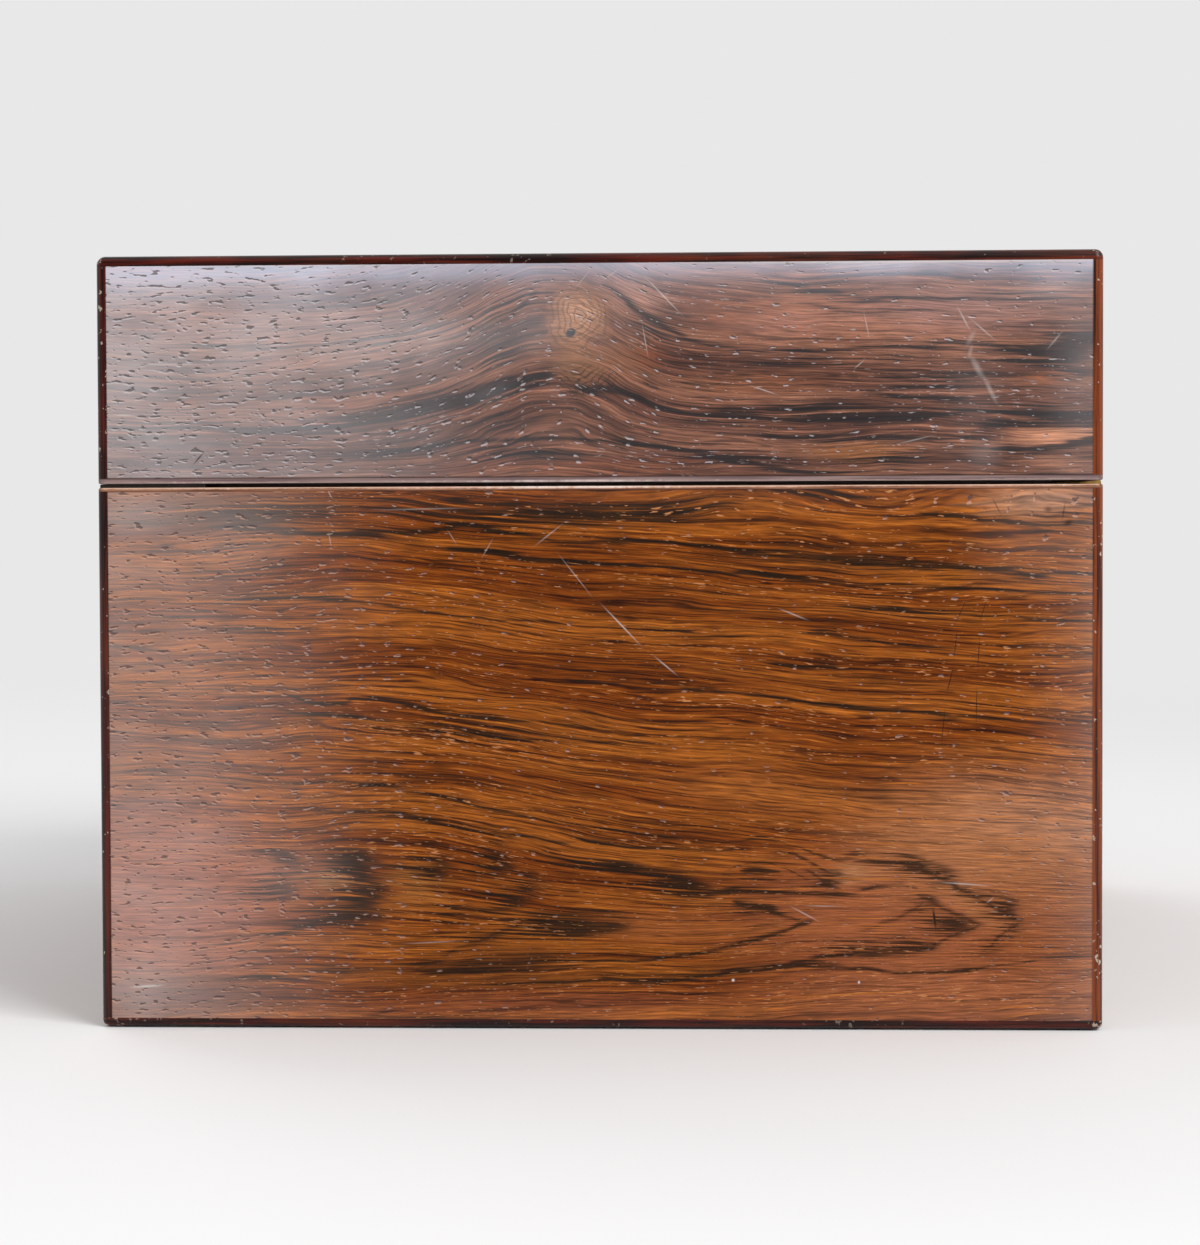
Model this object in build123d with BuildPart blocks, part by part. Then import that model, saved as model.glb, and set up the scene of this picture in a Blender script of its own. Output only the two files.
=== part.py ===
"""A rosewood vanity box: a veneered case with a hinged lid, a box lock, a mirror and a lift-out tray.

The frame has +Z up and its origin under the middle of the case, on the surface that the box stands on.
X runs along the length, the lock is in the front wall at -Y, and the hinges are on the back wall at +Y.
All sizes are in millimetres.
"""

import os
from math import cos, degrees, acos, radians, sin

from build123d import *

os.makedirs("parts", exist_ok=True)

# Driving dimensions of the whole box
LENGTH = 305.0
DEPTH = 229.0
HEIGHT = 177.0
LID_HEIGHT = 52.0
SEAM_GAP = 0.9

# Woodwork: carcase boards under saw-cut veneer, with a solid strip at every edge
BOARD = 8.8
VENEER = 1.2
BEAD = 2.4
BASE_BEAD = 2.0
BOTTOM_BOARD = 7.0
TOP_BOARD = 8.0
LID_FACING = 1.2
CASE_FACING = 0.9
EDGE_RADIUS = 1.9
BASE_RADIUS = 1.3
ARRIS = 0.35
GLUE_GAP = 0.04
BASE_CLOTH = 0.8
BASE_CLOTH_INSET = 4.0
BASE_LIFT = 0.3

# Places that follow from them
WALL = BOARD + VENEER
HALF_X = LENGTH / 2
HALF_Y = DEPTH / 2
INNER_X = HALF_X - WALL
INNER_Y = HALF_Y - WALL
CARCASE_X = HALF_X - VENEER
CARCASE_Y = HALF_Y - VENEER
RIM_Z = HEIGHT - LID_HEIGHT - SEAM_GAP
LID_Z = HEIGHT - LID_HEIGHT
FLOOR_Z = BASE_CLOTH + BOTTOM_BOARD
BASE_BEAD_Z = BASE_LIFT + BASE_BEAD
CEILING_Z = HEIGHT - VENEER - TOP_BOARD
TOP_BEAD_Z = HEIGHT - BEAD
CASE_FACING_Z = RIM_Z - CASE_FACING
LID_FACING_Z = LID_Z + LID_FACING

# Liners inside the case, which stand above the rim as a lip for the lid
LINER = 2.5
LIP_RISE = 4.0
LIP_CLEARANCE = 0.5
LIP_CHAMFER = 0.5
FLOOR_PAD = 1.2

# Lift-out tray on two ledges
TRAY_CLEARANCE = 1.5
TRAY_HEIGHT = 42.0
TRAY_DROP = 3.0
TRAY_WALL = 3.0
TRAY_FLOOR = 2.5
TRAY_PAD = 1.0
DIVIDER_DROP = 2.0
BACK_ROW_Y = 35.0
BACK_SPLIT_X = 52.0
ROLL_BAY_X = -58.0
SQUARE_BAYS_X = 58.0
SQUARE_SPLIT_Y = -32.0
LEDGE_WIDTH = 6.0
LEDGE_HEIGHT = 6.0
ROLL_COUNT = 11
ROLL_BACKING = 8.0
ROLL_CROWN = 7.0
ROLL_CLEARANCE = 0.4
PULL_WIDTH = 16.0
PULL_THICKNESS = 0.8
PULL_TAIL = 17.0
PULL_TONGUE = 13.0
PULL_RISE = 1.2
PULL_BEND = 2.6

# Mirror in the lid
MIRROR_X = 112.0
MIRROR_Y = 76.0
MIRROR_GLASS = 3.0
MIRROR_BACKING = 1.5
SLIP_OUTER = 4.0
SLIP_LIP = 6.0
SLIP_RISE = 1.5
PAD_DEPTH = 7.0
PAD_ROUND = 2.2
LINING = 1.0
LINING_CLEARANCE = 1.6

# Stop hinges in the back wall
HINGE_CENTRES_X = (-95.0, 95.0)
HINGE_LENGTH = 50.0
HINGE_AXIS_Y = HALF_Y + 0.6
HINGE_AXIS_Z = RIM_Z + SEAM_GAP / 2
KNUCKLES = 5
KNUCKLE_RADIUS = 2.6
KNUCKLE_PLAY = 0.2
NOTCH_REACH = 2.85
LEAF_REACH = 8.6
LEAF_THICKNESS = 2.0
LEAF_SPACE = 0.2
WOOD_RELIEF = 3.6
PIN_RADIUS = 1.2
PIN_PLAY = 0.05
OPEN_ANGLE = 97.0
STOP_MARGIN = 0.8
STOP_TIP = 3.2
STOP_ROOT = 1.6
STOP_WIDTH = 1.2
LEAF_SCREW_Y = HINGE_AXIS_Y - 5.9
LEAF_SCREW_SPACING = 17.0

# Countersunk brass screws
SCREW_HEAD_RADIUS = 2.2
SCREW_HEAD_DEPTH = 1.2
SCREW_SHANK_RADIUS = 1.1
SCREW_LENGTH = 8.0
SLOT_WIDTH = 0.5
SLOT_DEPTH = 0.6

# Box lock in the front wall, and the link plate in the lid that it holds
LOCK_Y = -HALF_Y + VENEER + 5.3
LOCK_HALF_X = 22.0
LOCK_DEPTH = 7.0
LOCK_BOTTOM_Z = RIM_Z - 30.5
LOCK_SHELL = 0.9
SELVEDGE = 1.5
SELVEDGE_HALF_X = 28.0
SELVEDGE_HALF_Y = 3.5
SELVEDGE_SCREW_X = 25.0
STAPLE_X = 9.0
STAPLE_THICKNESS = 1.6
STAPLE_WIDTH = 4.0
STAPLE_DROP = 11.0
EYE_WIDTH = 2.4
EYE_HEIGHT = 3.6
EYE_FOOT = 0.8
SLOT_HALF_X = 1.5
SLOT_HALF_Y = 2.6
LINK_HALF_X = 26.0
LINK_SCREW_X = 20.5
BOLT_TRAVEL = 5.0
BOLT_THICKNESS = 1.6
BOLT_BAR_HEIGHT = 6.0
BOLT_TAIL = 4.0
BOLT_PLAY = 0.08
STUD_X = 13.0
STUD_WIDTH = 3.0
STUD_HEIGHT = 2.4
PRONG_HEIGHT = 2.2
PRONG_REST_GAP = 0.8
PRONG_LENGTH = 4.9
UPRIGHT_WIDTH = 3.4
TALON_HALF = 3.0
TALON_DEPTH = 2.4
KEYHOLE_Z = RIM_Z - 22.5
KEYHOLE_RADIUS = 2.3
KEYHOLE_SLOT_WIDTH = 2.2
KEYHOLE_SLOT_DROP = 6.5
DRILL_PIN_RADIUS = 1.1
ESCUTCHEON_HALF_X = 6.5
ESCUTCHEON_HALF_Z = 10.5
ESCUTCHEON_Z = KEYHOLE_Z - 2.5
SPRING_THICKNESS = 0.5
SPRING_WIDTH = 3.0
# The spring's foot and knee, as distances past the staple and over the bolt's bar
SPRING_FOOT = (2.2, 0.2)
SPRING_KNEE = (6.2, 0.7)
SPRING_KNEE_TAPER = 0.2
SPRING_END_RISE = 2.4
# The angles at which the screws' slots were left: the mean, and the step from one screw to the next
SELVEDGE_SLOT_TURN = 20
SELVEDGE_SLOT_STEP = 35
LINK_SLOT_TURN = 70
LINK_SLOT_STEP = -30
HINGE_SLOT_TURN = 25
HINGE_SLOT_STEP = 47
HINGE_SLOT_DRIFT = 0.3

CUT = 1.0
SIDES = (-1, 1)
NODES = []


def block(x, y, z, mode=Mode.ADD):
    """Adds the box between two limits on each axis to the open part, or takes it away."""
    (x0, x1), (y0, y1), (z0, z1) = sorted(x), sorted(y), sorted(z)
    with Locations(((x0 + x1) / 2, (y0 + y1) / 2, (z0 + z1) / 2)):
        Box(x1 - x0, y1 - y0, z1 - z0, mode=mode)


def about(centre, half):
    """The limits of a length that lies evenly about its centre."""
    return (centre - half, centre + half)


def mitred_strips(half_x, half_y, width, width_y=None):
    """Draws the four mitred strips of a frame into the open sketch, with a glue line between them."""
    inner_x = half_x - width
    inner_y = half_y - (width_y or width)
    for side in SIDES:
        Polygon(
            (-half_x + GLUE_GAP, side * half_y),
            (half_x - GLUE_GAP, side * half_y),
            (inner_x - GLUE_GAP, side * inner_y),
            (-inner_x + GLUE_GAP, side * inner_y),
        )
        Polygon(
            (side * half_x, -half_y + GLUE_GAP),
            (side * half_x, half_y - GLUE_GAP),
            (side * inner_x, inner_y - GLUE_GAP),
            (side * inner_x, -inner_y + GLUE_GAP),
        )


def tube_along_x(x, radius, mode=Mode.ADD):
    """Adds a cylinder about the hinge axis between two X limits, or takes it away."""
    x0, x1 = sorted(x)
    with Locations(Location(((x0 + x1) / 2, HINGE_AXIS_Y, HINGE_AXIS_Z), (0, 90, 0))):
        Cylinder(radius, x1 - x0, mode=mode)


def screw_body(x, y, z, tip_up, mode=Mode.ADD):
    """Adds a countersunk screw with its head face at z, or takes its shape away."""
    with Locations(Location((x, y, z), (180 if tip_up else 0, 0, 0))):
        Cone(SCREW_SHANK_RADIUS, SCREW_HEAD_RADIUS, SCREW_HEAD_DEPTH,
             align=(Align.CENTER, Align.CENTER, Align.MAX), mode=mode)
        Cylinder(SCREW_SHANK_RADIUS, SCREW_LENGTH,
                 align=(Align.CENTER, Align.CENTER, Align.MAX), mode=mode)


def screw_slot(x, y, z, tip_up, turn):
    """Cuts the driver's slot across a screw head, turned as the screw was left."""
    with Locations(Location((x, y, z), (180 if tip_up else 0, 0, turn))):
        Box(3 * SCREW_HEAD_RADIUS, SLOT_WIDTH, 2 * SLOT_DEPTH, mode=Mode.SUBTRACT)


def long_edges_at(piece, z, shortest):
    """The edges, over the shortest length given, of the piece's level faces at height z."""
    level_faces = piece.faces().filter_by(Plane.XY).filter_by_position(Axis.Z, z - GLUE_GAP, z + GLUE_GAP)
    return [edge for face in level_faces for edge in face.edges() if edge.length > shortest]


def keep(piece, label):
    """Names a finished piece and writes its STEP file."""
    piece.part.label = label
    export_step(piece.part, f"parts/{label}.step")
    NODES.append(label)


# Outer shapes of the case and the lid, with their worn edges, that the outer pieces are trimmed to
with BuildPart() as case_shape:
    block((-HALF_X, HALF_X), (-HALF_Y, HALF_Y), (BASE_LIFT, RIM_Z))
    fillet(case_shape.edges().filter_by(Axis.Z), EDGE_RADIUS)
    fillet(case_shape.faces().sort_by(Axis.Z)[0].edges(), BASE_RADIUS)
    fillet(case_shape.faces().sort_by(Axis.Z)[-1].edges(), ARRIS)

with BuildPart() as lid_shape:
    block((-HALF_X, HALF_X), (-HALF_Y, HALF_Y), (LID_Z, HEIGHT))
    fillet(lid_shape.edges().filter_by(Axis.Z), EDGE_RADIUS)
    fillet(lid_shape.faces().sort_by(Axis.Z)[-1].edges(), EDGE_RADIUS)
    fillet(lid_shape.faces().sort_by(Axis.Z)[0].edges(), ARRIS)


def hinge_spans():
    """The X limits of the two hinges."""
    return [about(centre, HINGE_LENGTH / 2) for centre in HINGE_CENTRES_X]


def cut_hinge_seats(above):
    """Lets the hinge leaves and their knuckles into the back edge of the lid (above) or the case."""
    inner = HINGE_AXIS_Z + (LEAF_SPACE if above else -LEAF_SPACE)
    outer = inner + (LEAF_THICKNESS if above else -LEAF_THICKNESS)
    mouth = HINGE_AXIS_Z
    for span in hinge_spans():
        block(span, (HINGE_AXIS_Y - LEAF_REACH, HINGE_AXIS_Y), (mouth, outer), mode=Mode.SUBTRACT)
        tube_along_x(span, WOOD_RELIEF, mode=Mode.SUBTRACT)


def hinge_screw_places():
    """Each hinge screw's X and the angle that its slot was left at."""
    places = []
    for centre in HINGE_CENTRES_X:
        for step in (-1, 0, 1):
            slot_turn = HINGE_SLOT_TURN + HINGE_SLOT_STEP * step + HINGE_SLOT_DRIFT * centre
            places.append((centre + step * LEAF_SCREW_SPACING, slot_turn))
    return places


def cut_hinge_screws(above):
    """Cuts the seats of the hinge screws."""
    face = HINGE_AXIS_Z + (LEAF_SPACE if above else -LEAF_SPACE)
    for x, _ in hinge_screw_places():
        screw_body(x, LEAF_SCREW_Y, face, above, mode=Mode.SUBTRACT)


def cut_bead_corners(low, high):
    """Takes the corner beads' share out of boards that reach the outer corners."""
    for sx in SIDES:
        for sy in SIDES:
            block((sx * (HALF_X - BEAD), sx * HALF_X), (sy * (HALF_Y - BEAD), sy * HALF_Y), (low, high),
                  mode=Mode.SUBTRACT)


def cut_bead_frame(low, high):
    """Takes a frame of edge beads out of a board that reaches all four outer edges."""
    for side in SIDES:
        block((-HALF_X, HALF_X), (side * (HALF_Y - BEAD), side * HALF_Y), (low, high), mode=Mode.SUBTRACT)
        block((side * (HALF_X - BEAD), side * HALF_X), (-HALF_Y, HALF_Y), (low, high), mode=Mode.SUBTRACT)


# Case: boards

def cut_lock_mortise():
    """Cuts the mortise of the lock, its selvedge and its screws."""
    block((-LOCK_HALF_X, LOCK_HALF_X), (LOCK_Y - LOCK_DEPTH / 2, -INNER_Y), (LOCK_BOTTOM_Z, RIM_Z),
          mode=Mode.SUBTRACT)
    block((-SELVEDGE_HALF_X, SELVEDGE_HALF_X), about(LOCK_Y, SELVEDGE_HALF_Y), (RIM_Z - SELVEDGE, RIM_Z),
          mode=Mode.SUBTRACT)
    for side in SIDES:
        screw_body(side * SELVEDGE_SCREW_X, LOCK_Y, RIM_Z, False, mode=Mode.SUBTRACT)


def cut_keyhole(y_low, y_high):
    """Cuts the keyhole, a round hole over a slot, through whatever lies between two Y limits."""
    with Locations(Location((0, (y_low + y_high) / 2, KEYHOLE_Z), (90, 0, 0))):
        Cylinder(KEYHOLE_RADIUS, y_high - y_low, mode=Mode.SUBTRACT)
    block(about(0, KEYHOLE_SLOT_WIDTH / 2), (y_low, y_high), (KEYHOLE_Z - KEYHOLE_SLOT_DROP, KEYHOLE_Z),
          mode=Mode.SUBTRACT)


with BuildPart() as case_front_board:
    block((-INNER_X, INNER_X), (-CARCASE_Y, -INNER_Y), (FLOOR_Z, CASE_FACING_Z))
    cut_lock_mortise()
    cut_keyhole(-HALF_Y, LOCK_Y)

with BuildPart() as case_back_board:
    block((-INNER_X, INNER_X), (INNER_Y, CARCASE_Y), (FLOOR_Z, CASE_FACING_Z))
    cut_hinge_seats(above=False)
    cut_hinge_screws(above=False)


def case_end_board(side):
    """One end wall of the carcase, which the front and back boards are joined to."""
    with BuildPart() as board:
        block((side * INNER_X, side * CARCASE_X), (-CARCASE_Y, CARCASE_Y), (FLOOR_Z, CASE_FACING_Z))
        cut_bead_corners(FLOOR_Z, CASE_FACING_Z)
    return board


with BuildPart() as case_bottom_board:
    block((-CARCASE_X, CARCASE_X), (-CARCASE_Y, CARCASE_Y), (BASE_CLOTH, FLOOR_Z))
    cut_bead_frame(0, BASE_BEAD_Z)
    cut_bead_corners(BASE_BEAD_Z, FLOOR_Z)

with BuildPart() as base_cloth:
    with BuildSketch(Plane.XY):
        RectangleRounded(LENGTH - 2 * BASE_CLOTH_INSET, DEPTH - 2 * BASE_CLOTH_INSET, BASE_CLOTH_INSET)
    extrude(amount=BASE_CLOTH)


# Case: veneers, edge strips and rim facings

def cut_escutcheon_seat():
    """Cuts the oval opening that the escutcheon is let into."""
    with BuildSketch(Plane.XZ.offset(HALF_Y)) as seat:
        with Locations((0, ESCUTCHEON_Z)):
            Ellipse(ESCUTCHEON_HALF_X, ESCUTCHEON_HALF_Z)
    extrude(seat.sketch, amount=-VENEER, mode=Mode.SUBTRACT)


with BuildPart() as case_front_veneer:
    block((-HALF_X + BEAD, HALF_X - BEAD), (-HALF_Y, -CARCASE_Y), (BASE_BEAD_Z, CASE_FACING_Z))
    cut_escutcheon_seat()

with BuildPart() as case_back_veneer:
    block((-HALF_X + BEAD, HALF_X - BEAD), (CARCASE_Y, HALF_Y), (BASE_BEAD_Z, CASE_FACING_Z))
    cut_hinge_seats(above=False)


def end_veneer(side, low, high):
    """The sheet of veneer on one end, from low to high."""
    with BuildPart() as veneer:
        block((side * CARCASE_X, side * HALF_X), (-HALF_Y + BEAD, HALF_Y - BEAD), (low, high))
    return veneer


def corner_beads(shape, low, high):
    """Four rounded strips that stand at the corners of the case or the lid."""
    with BuildPart() as beads:
        for sx in SIDES:
            for sy in SIDES:
                block((sx * (HALF_X - BEAD), sx * HALF_X), (sy * (HALF_Y - BEAD), sy * HALF_Y), (low, high))
        add(shape.part, mode=Mode.INTERSECT)
    return beads


with BuildPart() as case_base_beads:
    with BuildSketch(Plane.XY.offset(BASE_LIFT)):
        mitred_strips(HALF_X, HALF_Y, BEAD)
    extrude(amount=BASE_BEAD)
    add(case_shape.part, mode=Mode.INTERSECT)

with BuildPart() as case_rim_facings:
    with BuildSketch(Plane.XY.offset(CASE_FACING_Z)):
        mitred_strips(HALF_X, HALF_Y, WALL)
    extrude(amount=CASE_FACING)
    add(case_shape.part, mode=Mode.INTERSECT)
    cut_hinge_seats(above=False)
    cut_lock_mortise()


# Case: liners, floor pad and tray ledges

with BuildPart() as case_liners:
    with BuildSketch(Plane.XY.offset(FLOOR_Z)):
        mitred_strips(INNER_X, INNER_Y, LINER)
    extrude(amount=RIM_Z + LIP_RISE - FLOOR_Z)
    for lip_side in SIDES:
        block((-INNER_X, INNER_X), (lip_side * (INNER_Y - LIP_CLEARANCE), lip_side * HALF_Y),
              (RIM_Z, RIM_Z + LIP_RISE + CUT), mode=Mode.SUBTRACT)
        block((lip_side * (INNER_X - LIP_CLEARANCE), lip_side * HALF_X), (-INNER_Y, INNER_Y),
              (RIM_Z, RIM_Z + LIP_RISE + CUT), mode=Mode.SUBTRACT)
    chamfer(long_edges_at(case_liners, RIM_Z + LIP_RISE, INNER_Y), LIP_CHAMFER)

LINER_X = INNER_X - LINER
LINER_Y = INNER_Y - LINER

with BuildPart() as floor_pad:
    block((-LINER_X, LINER_X), (-LINER_Y, LINER_Y), (FLOOR_Z, FLOOR_Z + FLOOR_PAD))

TRAY_TOP_Z = RIM_Z - TRAY_DROP
TRAY_Z = TRAY_TOP_Z - TRAY_HEIGHT
TRAY_X = LINER_X - TRAY_CLEARANCE
TRAY_Y = LINER_Y - TRAY_CLEARANCE

with BuildPart() as tray_ledges:
    for ledge_side in SIDES:
        block((ledge_side * (LINER_X - LEDGE_WIDTH), ledge_side * LINER_X), (-LINER_Y + CUT, LINER_Y - CUT),
              (TRAY_Z - LEDGE_HEIGHT, TRAY_Z))


# Lock

LOCK_TOP_Z = RIM_Z - SELVEDGE
BAR_LOW_Z = KEYHOLE_Z + 3.0
BAR_TOP_Z = BAR_LOW_Z + BOLT_BAR_HEIGHT
LOCK_BACK_Y = LOCK_Y + LOCK_DEPTH / 2
LOCK_FRONT_Y = LOCK_Y - LOCK_DEPTH / 2
CAVITY_HALF_X = LOCK_HALF_X - LOCK_SHELL

with BuildPart() as lock_case:
    block((-LOCK_HALF_X, LOCK_HALF_X), (LOCK_FRONT_Y, LOCK_BACK_Y - LOCK_SHELL), (LOCK_BOTTOM_Z, LOCK_TOP_Z))
    block((-CAVITY_HALF_X, CAVITY_HALF_X), (LOCK_FRONT_Y + LOCK_SHELL, LOCK_BACK_Y),
          (LOCK_BOTTOM_Z + LOCK_SHELL, LOCK_TOP_Z), mode=Mode.SUBTRACT)
    for stud_side in SIDES:
        block(about(stud_side * STUD_X, STUD_WIDTH / 2), (LOCK_FRONT_Y, LOCK_BACK_Y - LOCK_SHELL),
              (BAR_LOW_Z - BOLT_PLAY - STUD_HEIGHT, BAR_LOW_Z - BOLT_PLAY))
    cut_keyhole(LOCK_FRONT_Y - CUT, LOCK_FRONT_Y + LOCK_SHELL + CUT)

with BuildPart() as lock_cap:
    block((-LOCK_HALF_X, LOCK_HALF_X), (LOCK_BACK_Y - LOCK_SHELL, LOCK_BACK_Y), (LOCK_BOTTOM_Z, LOCK_TOP_Z))

with BuildPart() as lock_selvedge:
    block((-SELVEDGE_HALF_X, SELVEDGE_HALF_X), about(LOCK_Y, SELVEDGE_HALF_Y), (LOCK_TOP_Z, RIM_Z))
    for staple_side in SIDES:
        block(about(staple_side * STAPLE_X, SLOT_HALF_X), about(LOCK_Y, SLOT_HALF_Y), (LOCK_TOP_Z, RIM_Z),
              mode=Mode.SUBTRACT)
        screw_body(staple_side * SELVEDGE_SCREW_X, LOCK_Y, RIM_Z, False, mode=Mode.SUBTRACT)

with BuildPart() as lock_drill_pin:
    with Locations(Location((0, (LOCK_FRONT_Y + LOCK_BACK_Y - LOCK_SHELL) / 2, KEYHOLE_Z), (90, 0, 0))):
        Cylinder(DRILL_PIN_RADIUS, LOCK_DEPTH - LOCK_SHELL)

EYE_LOW_Z = LID_Z - STAPLE_DROP + EYE_FOOT
PRONG_Z = EYE_LOW_Z + EYE_HEIGHT / 2


def prong_limits(staple_side):
    """The X limits of one prong of the bolt, and of the upright behind it, with the lock open."""
    tip = staple_side * STAPLE_X - STAPLE_THICKNESS / 2 - PRONG_REST_GAP
    return (tip - PRONG_LENGTH, tip), (tip - PRONG_LENGTH - UPRIGHT_WIDTH, tip - PRONG_LENGTH)


def over_bar(place, along=0, rise=0):
    """A point of the spring, from its place past the staple and over the bolt's bar."""
    return STAPLE_X + place[0] + along, BAR_TOP_Z + place[1] + rise


with BuildPart() as lock_bolt:
    bar_start = prong_limits(-1)[1][0]
    bar_end = prong_limits(1)[0][1] + BOLT_TAIL
    block((bar_start, bar_end), about(LOCK_Y, BOLT_THICKNESS / 2), (BAR_LOW_Z, BAR_TOP_Z))
    for staple_side in SIDES:
        prong, upright = prong_limits(staple_side)
        block(upright, about(LOCK_Y, BOLT_THICKNESS / 2), (BAR_TOP_Z, PRONG_Z + PRONG_HEIGHT / 2))
        block(prong, about(LOCK_Y, BOLT_THICKNESS / 2), about(PRONG_Z, PRONG_HEIGHT / 2))
    talon_z = (BAR_LOW_Z, BAR_LOW_Z + TALON_DEPTH)
    block(about(-BOLT_TRAVEL / 2, TALON_HALF), about(LOCK_Y, BOLT_THICKNESS), talon_z, mode=Mode.SUBTRACT)

with BuildPart() as lock_spring:
    with BuildSketch(Plane.XZ.offset(-LOCK_Y - SPRING_WIDTH / 2)):
        Polygon(
            over_bar(SPRING_FOOT),
            over_bar(SPRING_KNEE),
            (CAVITY_HALF_X, BAR_TOP_Z + SPRING_END_RISE),
            (CAVITY_HALF_X, BAR_TOP_Z + SPRING_END_RISE + SPRING_THICKNESS),
            over_bar(SPRING_KNEE, -SPRING_KNEE_TAPER, SPRING_THICKNESS),
            over_bar(SPRING_FOOT, 0, SPRING_THICKNESS),
        )
    extrude(amount=SPRING_WIDTH)

with BuildPart() as lock_screws:
    for screw_side in SIDES:
        screw_body(screw_side * SELVEDGE_SCREW_X, LOCK_Y, RIM_Z, False)
        slot_turn = SELVEDGE_SLOT_TURN + SELVEDGE_SLOT_STEP * screw_side
        screw_slot(screw_side * SELVEDGE_SCREW_X, LOCK_Y, RIM_Z, False, slot_turn)

with BuildPart() as escutcheon:
    with BuildSketch(Plane.XZ.offset(HALF_Y)):
        with Locations((0, ESCUTCHEON_Z)):
            Ellipse(ESCUTCHEON_HALF_X, ESCUTCHEON_HALF_Z)
    extrude(amount=-VENEER)
    cut_keyhole(-HALF_Y - CUT, -CARCASE_Y + CUT)


# Hinges

def knuckle_spans(centre, first):
    """The X limits of every second knuckle, starting with the one numbered first."""
    start = centre - HINGE_LENGTH / 2
    pitch = HINGE_LENGTH / KNUCKLES
    return [(start + i * pitch, start + (i + 1) * pitch) for i in range(first, KNUCKLES, 2)]


def stop_nose(span):
    """Adds the square nose of a lid knuckle, which meets the case leaf when the lid is fully open."""
    tip = (STOP_TIP**2 + (STOP_WIDTH / 2) ** 2) ** 0.5
    meets_at = 180 + degrees(acos(NOTCH_REACH / tip))
    lead = degrees(acos(STOP_TIP / tip))
    angle = radians(meets_at + lead + OPEN_ANGLE + STOP_MARGIN)
    middle = (STOP_TIP + STOP_ROOT) / 2
    place = ((span[0] + span[1]) / 2, HINGE_AXIS_Y + middle * cos(angle), HINGE_AXIS_Z + middle * sin(angle))
    with Locations(Location(place, (degrees(angle), 0, 0))):
        Box(span[1] - span[0] - KNUCKLE_PLAY, STOP_TIP - STOP_ROOT, STOP_WIDTH)


def hinge_leaf(centre, above):
    """One leaf with its knuckles: two with stop noses on the lid leaf (above), and three on the case leaf."""
    inner = HINGE_AXIS_Z + (LEAF_SPACE if above else -LEAF_SPACE)
    outer = inner + (LEAF_THICKNESS if above else -LEAF_THICKNESS)
    own = knuckle_spans(centre, 1 if above else 0)
    with BuildPart() as leaf:
        leaf_y = (HINGE_AXIS_Y - LEAF_REACH, HINGE_AXIS_Y - NOTCH_REACH)
        block(about(centre, HINGE_LENGTH / 2), leaf_y, (inner, outer))
        for start, end in own:
            span = (start + KNUCKLE_PLAY / 2, end - KNUCKLE_PLAY / 2)
            block(span, (HINGE_AXIS_Y - NOTCH_REACH - CUT, HINGE_AXIS_Y), (inner, outer))
            tube_along_x(span, KNUCKLE_RADIUS)
            if above:
                stop_nose((start, end))
        bore = PIN_RADIUS + (PIN_PLAY if above else 0)
        tube_along_x(about(centre, HINGE_LENGTH), bore, mode=Mode.SUBTRACT)
        for step in (-1, 0, 1):
            screw_body(centre + step * LEAF_SCREW_SPACING, LEAF_SCREW_Y, inner, above, mode=Mode.SUBTRACT)
    return leaf


def hinge_screws(above):
    """The six screws that hold the leaves of both hinges to the lid (above) or the case."""
    face = HINGE_AXIS_Z + (LEAF_SPACE if above else -LEAF_SPACE)
    with BuildPart() as screws:
        for x, turn in hinge_screw_places():
            screw_body(x, LEAF_SCREW_Y, face, above)
            screw_slot(x, LEAF_SCREW_Y, face, above, turn)
    return screws


with BuildPart() as hinge_pins:
    for pin_span in hinge_spans():
        tube_along_x(pin_span, PIN_RADIUS)


# Lid: boards, veneers, edge strips and facing

WALL_TOP_Z = CEILING_Z


def cut_link_mortise():
    """Cuts the seats of the link plate and its screws in the lid's front edge."""
    seat_z = (LID_Z, LID_Z + SELVEDGE)
    block((-LINK_HALF_X, LINK_HALF_X), about(LOCK_Y, SELVEDGE_HALF_Y), seat_z, mode=Mode.SUBTRACT)
    for side in SIDES:
        screw_body(side * LINK_SCREW_X, LOCK_Y, LID_Z, True, mode=Mode.SUBTRACT)


with BuildPart() as lid_front_board:
    block((-INNER_X, INNER_X), (-CARCASE_Y, -INNER_Y), (LID_FACING_Z, WALL_TOP_Z))
    cut_link_mortise()

with BuildPart() as lid_back_board:
    block((-INNER_X, INNER_X), (INNER_Y, CARCASE_Y), (LID_FACING_Z, WALL_TOP_Z))
    cut_hinge_seats(above=True)
    cut_hinge_screws(above=True)


def lid_end_board(side):
    """One end wall of the lid."""
    with BuildPart() as board:
        block((side * INNER_X, side * CARCASE_X), (-CARCASE_Y, CARCASE_Y), (LID_FACING_Z, WALL_TOP_Z))
        cut_bead_corners(LID_FACING_Z, WALL_TOP_Z)
    return board


with BuildPart() as lid_top_board:
    block((-CARCASE_X, CARCASE_X), (-CARCASE_Y, CARCASE_Y), (CEILING_Z, HEIGHT - VENEER))
    cut_bead_frame(TOP_BEAD_Z, HEIGHT)
    cut_bead_corners(CEILING_Z, TOP_BEAD_Z)

with BuildPart() as lid_top_veneer:
    block((-HALF_X + BEAD, HALF_X - BEAD), (-HALF_Y + BEAD, HALF_Y - BEAD), (HEIGHT - VENEER, HEIGHT))

with BuildPart() as lid_front_veneer:
    block((-HALF_X + BEAD, HALF_X - BEAD), (-HALF_Y, -CARCASE_Y), (LID_FACING_Z, TOP_BEAD_Z))

with BuildPart() as lid_back_veneer:
    block((-HALF_X + BEAD, HALF_X - BEAD), (CARCASE_Y, HALF_Y), (LID_FACING_Z, TOP_BEAD_Z))
    cut_hinge_seats(above=True)

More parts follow.
